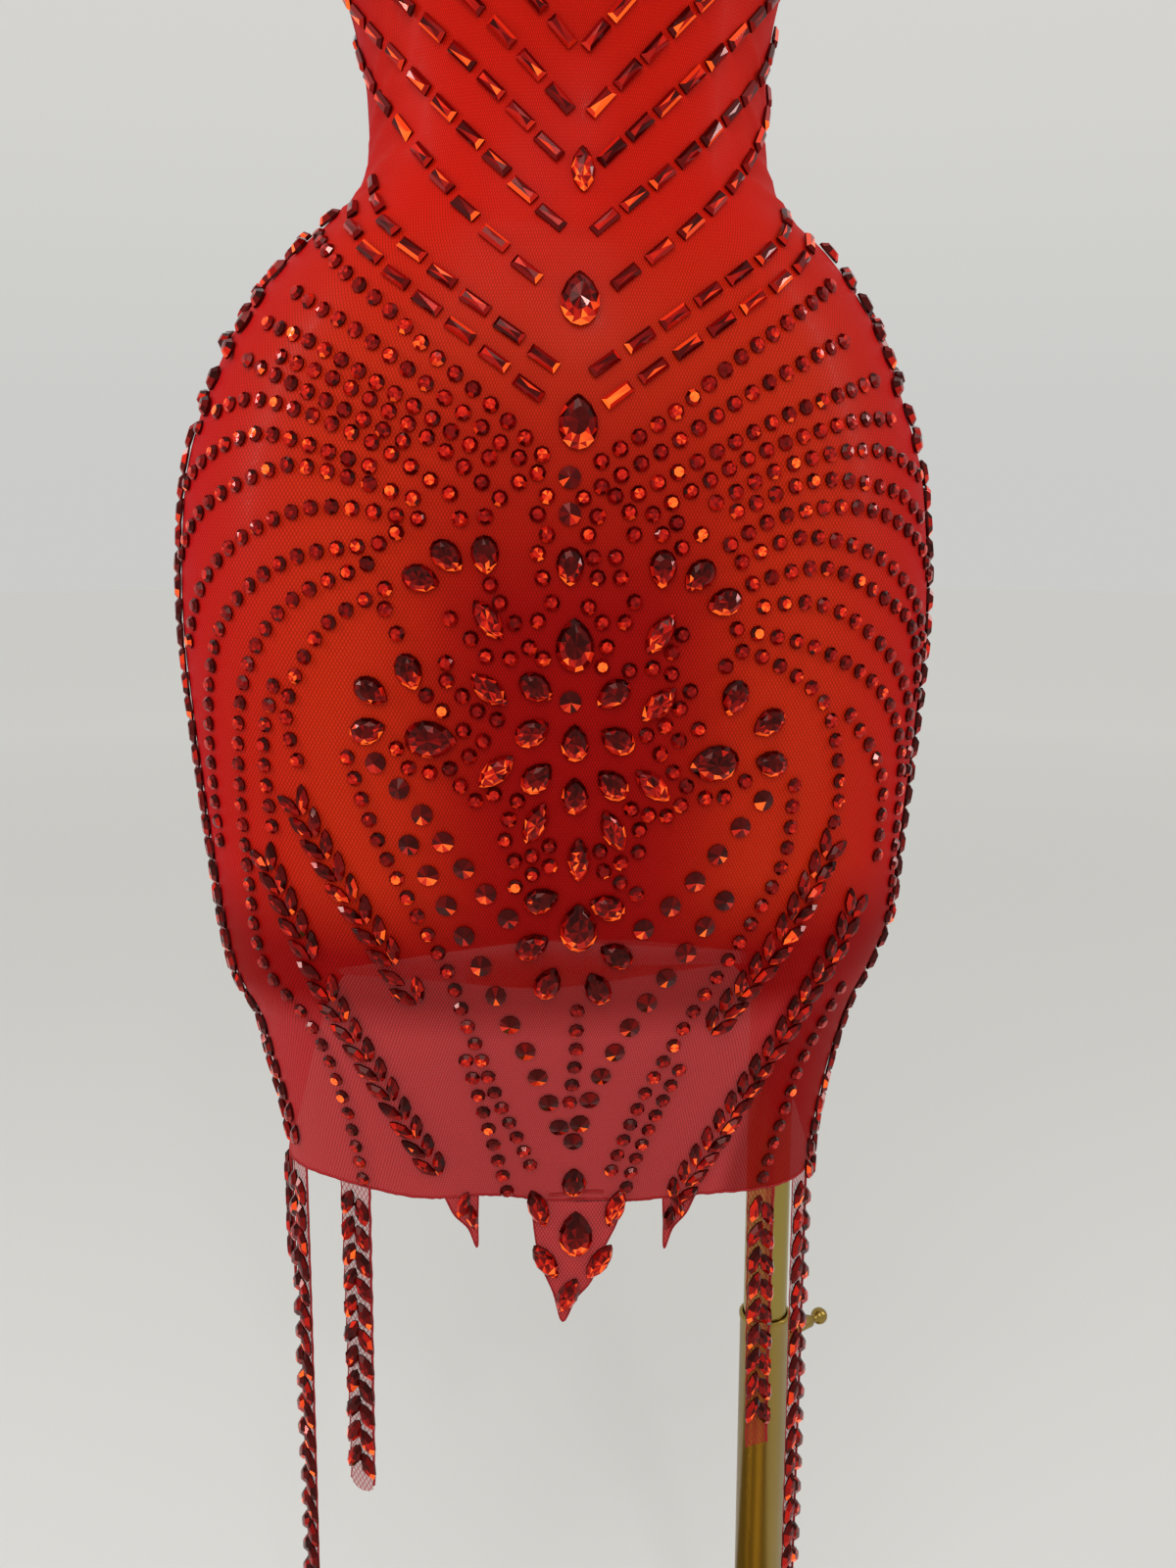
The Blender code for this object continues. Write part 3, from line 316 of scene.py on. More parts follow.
looks = {  # pairs run from stretched to slack net, or from hole to thread
    "net": {"pitch": 0.0015, "cover": 0.62, "shades": (1.55, 0.55), "holeAlpha": (0.84, 0.965),
            "threadAlpha": 0.99, "gloss": 0.04, "coat": (0.07, 0.02)},
    "coarse": {"pitch": 0.0022, "cover": 0.50, "shades": (1.0, 0.9), "holeAlpha": (0.45, 0.45),
               "threadAlpha": 0.97, "gloss": 0.06, "coat": (0.0, 0.0)},
    "edge": {"pitch": 0.0006, "cover": 0.9, "shades": (1.0, 0.9), "holeAlpha": (0.97, 0.97),
             "threadAlpha": 1.0, "gloss": 0.10, "coat": (0.0, 0.0)},
    # the stones' red, from painted shade at 0 to painted glint at 1
    "crystal": {"stops": [(0.0, (0.018, 0.000, 0.000)), (0.3, (0.070, 0.001, 0.001)),
                          (0.55, (0.24, 0.002, 0.002)), (0.8, (0.74, 0.016, 0.006)),
                          (1.0, (1.0, 0.16, 0.020))],
                # painted glow of the brightest facets
                "paintedGlowFrom": 0.76, "paintedGlow": (1.0, 0.10, 0.012), "paintedGlowStrength": 0.55,
                "roughness": 0.05, "gloss": 0.3},
    "form": {"scale": 6.0, "rough": (0.18, 0.26), "dark": (0.52, 0.27, 0.13), "light": (0.62, 0.34, 0.18),
             "metallic": 0.0, "coat": 0.6},
    "brass": {"scale": 14.0, "rough": (0.24, 0.34), "dark": (0.28, 0.185, 0.042),
              "light": (0.37, 0.255, 0.062), "metallic": 1.0, "coat": 0.0},
    "brassInner": {"scale": 14.0, "rough": (0.20, 0.30), "dark": (0.29, 0.21, 0.050),
                   "light": (0.38, 0.29, 0.075), "metallic": 1.0, "coat": 0.0},
}
netRed = netMaterial("netRed", looks["net"])
netCoarse = netMaterial("netCoarse", looks["coarse"])
netEdge = netMaterial("netEdge", looks["edge"])
crystal = crystalMaterial("redCrystal", looks["crystal"])
formTan = hardMaterial("formTan", looks["form"])
brass = hardMaterial("brass", looks["brass"])
brassInner = hardMaterial("brassInner", looks["brassInner"])
print("finishes ready")


# net of the body

panels = {
    "spacing": 0.0042, "out": 0.0009, "underarm": 1.258, "strapOut": 1.450, "strapIn": 1.496,
    "seamGap": 0.0002, "mapScale": 0.15,  # metres of flat cloth for each radian
    "hemColumns": 121, "sideFrom": 0.506, "sideStep": 0.005, "curveSteps": 8,
    "edgeRoll": 0.0009, "hemRoll": 0.0007, "hemCurl": 0.0003, "seamRoll": 0.0006, "seamStep": 0.004,
    "band": {"from": -6, "to": 17, "up": 0.0042, "wave": 0.0008, "waves": 6, "lift": 0.0004, "roll": 0.0008},
    "front": {
        "centre": 0.0, "middle": 1.383,
        "armhole": [  # mm: bearing, station
            (84, 1262), (76, 1272), (68, 1295), (63, 1325), (61, 1358), (62, 1390), (67, 1418),
            (77, 1440)],
        "neck": [
            (76, 1488), (60, 1470), (44, 1440), (29, 1408), (14, 1388)]},
    "back": {
        "centre": math.pi, "middle": 1.468,
        "armhole": [
            (84, 1262), (76, 1274), (67, 1300), (61, 1330), (59, 1362), (61, 1392), (67, 1419),
            (77, 1440)],
        "neck": [
            (76, 1491), (58, 1482), (40, 1474), (20, 1469)]},
}
mapScale = panels["mapScale"]


def throughPoints(points, steps):
    # smooth curve through points, ends kept
    p = np.array(points, float)
    p = np.vstack([2 * p[0] - p[1], p, 2 * p[-1] - p[-2]])
    found = []
    for k in range(1, len(p) - 2):
        a, b, c, d = p[k - 1:k + 3]
        for t in np.linspace(0, 1, steps, endpoint=False):
            spot = 2 * b + (c - a) * t + (2 * a - 5 * b + 4 * c - d) * t**2
            found.append(0.5 * (spot + (3 * b - a - 3 * c + d) * t**3))
    found.append(p[-2])
    return np.array(found)


# the net's red, with painted light: hips is partly a painted highlight of the glossy form through the net;
# sides, middle and deep are painted shade
dyesAndPaintedLight = {
    "hips": (0.46, 0.015, 0.001), "waist": (0.47, 0.006, 0.001), "sides": (0.39, 0.0020, 0.0040),
    "middle": (0.27, 0.0016, 0.0012), "deep": (0.22, 0.0010, 0.0010), "skirt": (0.375, 0.0210, 0.0235),
    "loose": (0.38, 0.0180, 0.0190),
}
# most of these masks place the net's painted highlight and painted shade
zones = {  # where each starts and over what span it comes in, + upwards or away from the front
    "middle": (0.93, -0.12), "cleft": (0.90, -0.10), "side": (50, 28), "behind": (110, 30),
    "waist": (0.92, 0.07), "rim": (0.680, -0.04), "skirt": (0.618, -0.02),
    "poleFrom": (0.90, 0.06), "poleTo": (1.60, -0.06),
}


def zone(name, value):
    start, span = zones[name]
    return np.clip((value - start) / span, 0, 1)


def netState(bearing, station):
    # how slack the net lies, 0 stretched to 1 slack, and its colour there: the net's red with painted light,
    # a painted highlight over the hips and painted shade at the sides, in the middle front and back and under
    # the form's rim, and darker in front of the pole
    b = np.abs(np.degrees(np.arctan2(np.sin(bearing), np.cos(bearing))))
    # painted shade: darker between the thighs and in the cleft at the back, where the net stands off the form
    middle = np.exp(-(b / 33) ** 5) * zone("middle", station)
    cleft = 0.7 * np.exp(-((180 - b) / 16) ** 2) * zone("cleft", station)
    # painted shade: the sides of the body are darkened, as the form's flanks turn from the light
    side = zone("side", b) * (1 - 0.75 * zone("behind", b))
    waist, rim, skirt = zone("waist", station), zone("rim", station), zone("skirt", station)
    # darker in front of the pole, on the right of the single layer, in the rim's painted shade colour
    beforePole = zone("poleFrom", bearing) * zone("poleTo", bearing) * skirt
    parts = [("waist", waist * (1 - 0.8 * side)), ("sides", side), ("middle", np.maximum(middle, cleft)),
             # painted shade: deep darkens the band over the form's shaded underside below its rim; it also
             # darkens the net in front of the pole
             ("deep", rim), ("skirt", skirt), ("deep", beforePole)]
    # start from the hips' colour: partly the form's tan through the stretched net, partly a painted highlight
    # of the glossy form
    dyeAndPaintedLight = np.ones(b.shape + (3,)) * dyesAndPaintedLight["hips"]
    for name, amount in parts:
        dyeAndPaintedLight = dyeAndPaintedLight + (np.array(dyesAndPaintedLight[name]) - dyeAndPaintedLight) * np.clip(amount, 0, 1)[..., None]
    slack = np.maximum.reduce([0.9 * side, 0.8 * middle, 0.55 * waist, rim])
    return np.clip(slack, 0, 1), dyeAndPaintedLight


def looseState(x, y):
    return 0 * x + 0.5, np.ones(x.shape + (3,)) * dyesAndPaintedLight["loose"]


def insideOutline(x, y, edge):
    hit = np.zeros(x.shape, bool)
    for (ax, ay), (bx, by) in zip(edge, np.roll(edge, 1, axis=0)):
        if ay != by:
            cross = ((ay > y) != (by > y)) & (x < (bx - ax) * (y - ay) / (by - ay) + ax)
            hit ^= cross
    return hit


def edgeDistance(x, y, edge):
    near = np.full(x.shape, 1.0)
    for a, b in zip(edge, np.roll(edge, 1, axis=0)):
        dx, dy = b - a
        t = np.clip(((x - a[0]) * dx + (y - a[1]) * dy) / max(dx * dx + dy * dy, 1e-12), 0, 1)
        near = np.minimum(near, np.hypot(x - a[0] - t * dx, y - a[1] - t * dy))
    return near


def clothSheet(name, edge, spacing, place, material, state):
    # edge and grid in metres of flat cloth; place turns them into the room
    (lowX, lowY), (highX, highY) = edge.min(0), edge.max(0)
    gx, gy = np.meshgrid(np.arange(lowX, highX, spacing), np.arange(lowY, highY, spacing), indexing="ij")
    gx, gy = gx.ravel(), gy.ravel()
    keep = insideOutline(gx, gy, edge)
    gx, gy = gx[keep], gy[keep]
    keep = edgeDistance(gx, gy, edge) > spacing * 0.45
    spots = [Vector(p) for p in edge] + [Vector(p) for p in zip(gx[keep], gy[keep])]
    points, _, triangles = delaunay_2d_cdt(spots, [], [list(range(len(edge)))], 1, 1e-7)[:3]
    flat = np.array([tuple(p) for p in points])
    faces = []
    for face in triangles:
        a, b, c = (flat[k] for k in face)
        turn = (b[0] - a[0]) * (c[1] - a[1]) - (b[1] - a[1]) * (c[0] - a[0])
        faces.append(list(face) if turn > 0 else list(reversed(face)))
    piece = newPiece(name, place(flat[:, 0], flat[:, 1]), faces, material)
    mesh = piece.data
    uv = mesh.uv_layers.new(name="clothMap")
    corner = np.zeros(len(mesh.loops), int)
    mesh.loops.foreach_get("vertex_index", corner)
    uv.data.foreach_set("uv", flat[corner].astype(np.float32).ravel())
    slack, dyeAndPaintedLight = state(flat[:, 0], flat[:, 1])
    mesh.attributes.new("slack", "FLOAT", "POINT").data.foreach_set("value", slack.astype(np.float32))
    dyeAndPaintedLight = np.column_stack([dyeAndPaintedLight, np.ones(len(dyeAndPaintedLight))]).astype(np.float32)
    mesh.attributes.new("dyeAndPaintedLight", "FLOAT_COLOR", "POINT").data.foreach_set("color", dyeAndPaintedLight.ravel())
    return piece


def panelOutline(part):
    half = math.pi / 2
    columns = np.radians(np.linspace(-90, 90, panels["hemColumns"]))
    hem = [(np.clip(b, -half, half), float(hemStation(part["centre"] + b))) for b in columns]
    side = [(half, s) for s in np.arange(panels["sideFrom"], panels["underarm"], panels["sideStep"])]
    arm, neck = ([(math.radians(b), s / 1000) for b, s in part[name]] for name in ("armhole", "neck"))
    steps = panels["curveSteps"]
    arm = throughPoints([(half, panels["underarm"])] + arm + [(half, panels["strapOut"])], steps)
    neck = throughPoints([(half, panels["strapIn"])] + neck + [(0.0, part["middle"])], steps)
    for curve in (arm, neck):
        curve[:, 0] = np.minimum(curve[:, 0], half)
    right = np.vstack([side, arm, neck])
    left = right[:-1][::-1] * (-1, 1)
    gap = panels["seamGap"] / mapScale
    loop = np.vstack([hem, right, left])
    loop[:, 0] = np.clip(loop[:, 0], -half + gap, half - gap)
    return loop, arm, neck


def bodyPanel(name, part):
    loop, arm, neck = panelOutline(part)
    edge = (loop + (part["centre"], 0)) * (mapScale, 1)
    out = panels["out"]
    piece = clothSheet(name, edge, panels["spacing"], lambda x, y: onCloth(x / mapScale, y, out),
                       netRed, lambda x, y: netState(x / mapScale, y))
    rolls = []
    for k, path in enumerate((arm, arm * (-1, 1), np.vstack([neck, neck[:-1][::-1] * (-1, 1)]))):
        points = onCloth(path[:, 0] + part["centre"], path[:, 1], out)
        rolls.append(rolledEdge(f"{name}_edge_{k}", points, panels["edgeRoll"]))
    return piece, rolls


def rolledEdge(name, points, radius, closed=False, colour="skirt"):
    # a raw edge that has curled into a thin roll
    curve = bpy.data.curves.new(name, "CURVE")
    curve.dimensions = "3D"
    curve.bevel_depth = radius
    curve.bevel_resolution = 1
    curve.use_fill_caps = True
    line = curve.splines.new("POLY")
    line.points.add(len(points) - 1)
    for spot, p in zip(line.points, points):
        spot.co = (*p, 1)
    line.use_cyclic_u = closed
    guide = bpy.data.objects.new(name, curve)
    bpy.context.scene.collection.objects.link(guide)
    selectNone()
    guide.select_set(True)
    bpy.context.view_layer.objects.active = guide
    bpy.ops.object.convert(target="MESH")
    mesh = guide.data
    mesh.materials.append(netEdge)
    mesh.uv_layers.new(name="clothMap")
    dyeAndPaintedLight = np.tile(np.array([*dyesAndPaintedLight[colour], 1.0], np.float32), len(mesh.vertices))
    mesh.attributes.new("dyeAndPaintedLight", "FLOAT_COLOR", "POINT").data.foreach_set("color", dyeAndPaintedLight)
    return guide


def joinPieces(name, parts):
    selectNone()
    for part in parts:
        part.select_set(True)
    bpy.context.view_layer.objects.active = parts[0]
    bpy.ops.object.join()
    parts[0].name = name
    parts[0].data.name = name
    return parts[0]


netFront, frontRolls = bodyPanel("net_front", panels["front"])
netBack, backRolls = bodyPanel("net_back", panels["back"])
random.seed(11)
bearings = np.radians(np.arange(0, 360, 1.0))
curl = np.array([panels["hemCurl"] * random.uniform(-1, 1) for _ in bearings])
hemPath = onCloth(bearings, hemStation(bearings) + curl, panels["out"])
hemRoll = rolledEdge("hem_roll", hemPath, panels["hemRoll"], True)
band = panels["band"]
bearings = np.radians(np.arange(band["from"], band["to"], 1.0))
bandHeight = hemStation(bearings) + band["up"] + band["wave"] * np.sin(band["waves"] * bearings)
bandRoll = rolledEdge("hem_band", onCloth(bearings, bandHeight, panels["out"] + band["lift"]), band["roll"])
seams = []
for bearing in (-math.pi / 2, math.pi / 2):
    sideSeam = (float(hemStation(bearing)), panels["underarm"])
    shoulderSeam = (panels["strapOut"], panels["strapIn"])
    for first, last in (sideSeam, shoulderSeam):
        stations = np.arange(first, last, panels["seamStep"])
        path = onCloth(bearing + 0 * stations, stations, panels["out"])
        # the seams take the colour of the sides' painted shade
        seams.append(rolledEdge(f"seam_{len(seams)}", path, panels["seamRoll"], colour="sides"))
edges = joinPieces("net_edges", frontRolls + backRolls + [hemRoll, bandRoll] + seams)
print("net laid on the body")


# crystals

stoneKinds = {  # length, width, height, sides
    "baguette": (0.0145, 0.0056, 0.0030, 4), "bigDrop": (0.0245, 0.0178, 0.0056, 14),
    "drop": (0.0175, 0.0128, 0.0046, 12), "marquise": (0.0215, 0.0108, 0.0044, 12),
    "leaf": (0.0150, 0.0068, 0.0034, 8), "round": (0.0102, 0.0102, 0.0036, 10),
    "small": (0.0076, 0.0076, 0.0027, 8), "petal": (0.0125, 0.0088, 0.0042, 8),
    "navette": (0.0158, 0.0084, 0.0034, 8),
}
tallCut = [(0.28, 1.0, False), (0.42, 0.80, False), (0.26, 0.52, True)]
lowCut = [(0.30, 1.0, False), (0.60, 0.58, False)]
stoneSteps = {  # rise of each ring over the stone's height, its size, whether it is turned half a side
    "bigDrop": tallCut, "drop": tallCut, "marquise": tallCut,
    "leaf": lowCut, "navette": lowCut, "petal": lowCut,
    "small": [(0.30, 1.0, False), (0.62, 0.62, False)], "round": [(0.22, 1.0, False)],
    "baguette": [(0.35, 1.0, False), (0.55, 0.62, False)],
}
dropShape = {"point": 0.32, "belly": 0.25, "sag": 0.04}
leafPoint, baguetteTable, flatTop, pointedTop = 1.6, (0.50, 0.80, 1), 0.06, 0.62


def stoneOutline(kind, sides, length, width):
    if kind == "baguette":
        return [(x * width / 2, y * length / 2) for x, y in ((-1, -1), (1, -1), (1, 1), (-1, 1))]
    found = []
    for k in range(sides):
        x, y = math.sin(math.tau * k / sides), math.cos(math.tau * k / sides)
        if kind in ("drop", "bigDrop", "petal"):
            top = max(y, 0.0)
            x *= (1 - top) ** dropShape["point"] * (1 + dropShape["belly"] * top)
            found.append((x * width / 2, y * length / 2 - dropShape["sag"] * length * (1 - abs(y))))
        elif kind in ("marquise", "leaf", "navette"):
            found.append((math.copysign(abs(x) ** leafPoint, x) * width / 2, y * length / 2))
        else:
            found.append((x * width / 2, y * length / 2))
    return found[::-1]


def cutStone(kind):
    # a flat-backed cut stone, modelled once at the origin
    length, width, height, sides = stoneKinds[kind]
    selectNone()
    bpy.ops.mesh.primitive_circle_add(vertices=sides, radius=1, fill_type="NGON")
    stone = bpy.context.object
    for vertex, (x, y) in zip(stone.data.vertices, stoneOutline(kind, sides, length, width)):
        vertex.co = (x, y, 0)
    bpy.ops.object.mode_set(mode="EDIT")
    bpy.ops.mesh.select_all(action="SELECT")
    bpy.ops.mesh.normals_make_consistent(inside=False)
    size = 1.0
    for rise, scale, turned in stoneSteps[kind]:
        bpy.ops.mesh.extrude_region_move(TRANSFORM_OT_translate={"value": (0, 0, rise * height)})
        spread = (scale / size, scale / size, 1)
        if kind == "baguette" and scale < 1:
            spread = baguetteTable
        bpy.ops.transform.resize(value=spread, center_override=(0, 0, 0))
        if turned:
            bpy.ops.transform.rotate(value=math.pi / sides, orient_axis="Z", center_override=(0, 0, 0))
        size = scale
    bpy.ops.mesh.poke(offset=(pointedTop if kind == "round" else flatTop) * height)
    bpy.ops.mesh.select_all(action="SELECT")
    if stoneSteps[kind] is tallCut:
        bpy.ops.mesh.quads_convert_to_tris()
    bpy.ops.mesh.normals_make_consistent(inside=False)
    bpy.ops.object.mode_set(mode="OBJECT")
    shown = [p for p in stone.data.polygons if p.normal.z >= -0.9]  # the flat back is left off
    points = np.array([tuple(v.co) for v in stone.data.vertices])
    faces = [list(p.vertices) for p in shown]
    facets = [(tuple(p.center), tuple(p.normal)) for p in shown]
    bpy.data.objects.remove(stone, do_unlink=True)
    return points, faces, facets


cuts = {kind: cutStone(kind) for kind in stoneKinds}
# painted light on the facets: glint and shade tones for each cut, then how the stones are placed
paintedGlintsAndPlacing = {
    "girdle": (0.05, 0.22), "paintedTableGlint": (0.50, 0.56, 0.62, 0.68, 0.74), "paintedTableGlintShare": 0.96, "brightestTableGlint": 0.95,
    "dark": (0.12, 0.18, 0.26, 0.38), "wedge": 0.60, "wedgeShare": 0.5,
    "bars": (0.20, 0.35, 0.50, 0.62, 0.85), "lean": 0.05, "near": 0.026, "touch": 0.97, "offForm": 0.0014,
}


def paintedFacetLight(kind, paintedTableGlint, down, normal):
    # painted light: how bright a facet is painted, 0 dark to 1 bright, standing in for light caught inside
    # the stone, with lower facets brighter as if lit from above and painted glints; down is + on the stone's
    # lower side
    flat = normal[2] > 0.93
    if math.hypot(normal[0], normal[1]) > 0.9:
        return random.uniform(*paintedGlintsAndPlacing["girdle"])
    if kind == "small":
        return paintedTableGlint + random.gauss(0, 0.08) if flat else 0.36 + 0.26 * down + random.gauss(0, 0.17)
    if kind == "round":
        dark = random.choice(paintedGlintsAndPlacing["dark"])
        return dark + (paintedGlintsAndPlacing["wedge"] if down > 0.25 and random.random() < paintedGlintsAndPlacing["wedgeShare"] else 0.0)
    if kind in ("drop", "bigDrop"):
        paintedLight = 0.27 + 0.22 * down if flat else 0.40 + 0.55 * down
        return paintedLight + random.gauss(0, 0.12 if flat else 0.20)
    if kind == "marquise":
        return 0.56 + 0.30 * down + random.gauss(0, 0.20)
    if kind == "baguette":
        return random.choice(paintedGlintsAndPlacing["bars"]) + 0.2 * down
    return 0.42 + 0.34 * down + random.gauss(0, 0.22)


def halfReach(length, width, cosine):
    # how far an oval reaches from its middle, at an angle to its length
    sine = math.sqrt(max(1 - cosine * cosine, 0))
    return (length / 2 * width / 2) / math.hypot(width / 2 * cosine, length / 2 * sine)


class StoneSet:
    def __init__(self, name):
        self.name, self.points, self.faces, self.paintedLights = name, [], [], []
        self.count, self.placed = 0, []

    def clear(self, centre, kind, axis):
        # whether the stone keeps off those already set
        length, width = stoneKinds[kind][:2]
        for spot, otherLength, otherWidth, otherAxis in self.placed:
            away = spot - centre
            far = np.linalg.norm(away)
            if far > paintedGlintsAndPlacing["near"]:
                continue
            away = away / max(far, 1e-9)
            reach = halfReach(length, width, abs(away @ axis))
            other = halfReach(otherLength, otherWidth, abs(away @ otherAxis))
            if far < (reach + other) * paintedGlintsAndPlacing["touch"]:
                return False
        return True

    def add(self, kind, origin, right, lift, out, heading, check=True):
        heading = math.radians(heading)
        axis = math.cos(heading) * lift + math.sin(heading) * right
        if check and not self.clear(origin, kind, axis):
            return
        across = math.cos(heading) * right - math.sin(heading) * lift
        points, faces, facets = cuts[kind]
        length, width = stoneKinds[kind][:2]
        lean = paintedGlintsAndPlacing["lean"] * np.array([random.uniform(-1, 1), random.uniform(-1, 1)])
        tilted = points[:, 2] + points[:, 0] * lean[0] + points[:, 1] * lean[1]
        self.points.append(origin + points[:, :1] * across + points[:, 1:2] * axis + tilted[:, None] * out)
        self.faces += [[k + self.count for k in face] for face in faces]
        self.count += len(points)
        # painted light: a random brightness for each stone, and a painted highlight on the tables of small
        # rounds
        bright = random.gauss(0, 0.05)
        paintedTableGlint = random.choice(paintedGlintsAndPlacing["paintedTableGlint"]) if random.random() < paintedGlintsAndPlacing["paintedTableGlintShare"] else paintedGlintsAndPlacing["brightestTableGlint"]
        for (x, y, _), normal in facets:
            down = -(axis[2] * y + across[2] * x) / (length * 0.5)
            self.paintedLights.append(min(max(paintedFacetLight(kind, paintedTableGlint, down, normal) + bright, 0.0), 1.0))
        self.placed.append((origin, length, width, axis))

    def build(self):
        piece = newPiece(self.name, np.vstack(self.points), self.faces, crystal, smooth=False)
        # the painted light of each facet, kept on the face
        paintedLight = piece.data.attributes.new("paintedLight", "FLOAT", "FACE")
        paintedLight.data.foreach_set("value", np.array(self.paintedLights, np.float32))
        return piece


def cloth(bearing, station):
    # the cloth's directions at a place: to the right with its true length, right, up, out
    _, along, _, out = skinFrame(math.radians(bearing), station)
    right = along / np.linalg.norm(along)
    return along, right, np.cross(out, right), out


def onBody(stones, kind, bearing, station, heading):
    _, right, lift, out = cloth(bearing, station)
    origin = onCloth(np.array(math.radians(bearing)), np.array(station), paintedGlintsAndPlacing["offForm"])
    stones.add(kind, origin, right, lift, out, heading)


def walkRow(points, pitch):
    # bearings and stations at an even pitch along a smooth row, with the heading
    curve = throughPoints(np.array(points) / (1, 1000), 24)
    room = skin(np.radians(curve[:, 0]), curve[:, 1])
    steps = np.linalg.norm(np.diff(room, axis=0), axis=1)
    gone = np.concatenate([[0], np.cumsum(steps)])
    count = max(int(round(gone[-1] / pitch)), 1)
    found = []
    for far in np.linspace(0, gone[-1], count + 1):
        k = min(int(np.searchsorted(gone, far, side="right") - 1), len(steps) - 1)
        t = (far - gone[k]) / max(steps[k], 1e-9)
        bearing, station = curve[k] + (curve[k + 1] - curve[k]) * t
        _, right, lift, _ = cloth(bearing, station)
        step = room[k + 1] - room[k]
        found.append((bearing, station, math.degrees(math.atan2(step @ right, step @ lift))))
    return found


droop = {"from": 0.65, "over": 0.30, "low": 0.012, "less": 0.007, "at": 45.0, "most": 1.3}


def tilt(side, bearing, station):
    # the rows lie a little lower to the right, as the hem does, and less so above the hips
    part = min(max((station - droop["from"]) / droop["over"], 0.0), 1.0)
    return -side * (droop["low"] - droop["less"] * part) * min(abs(bearing) / droop["at"], droop["most"])


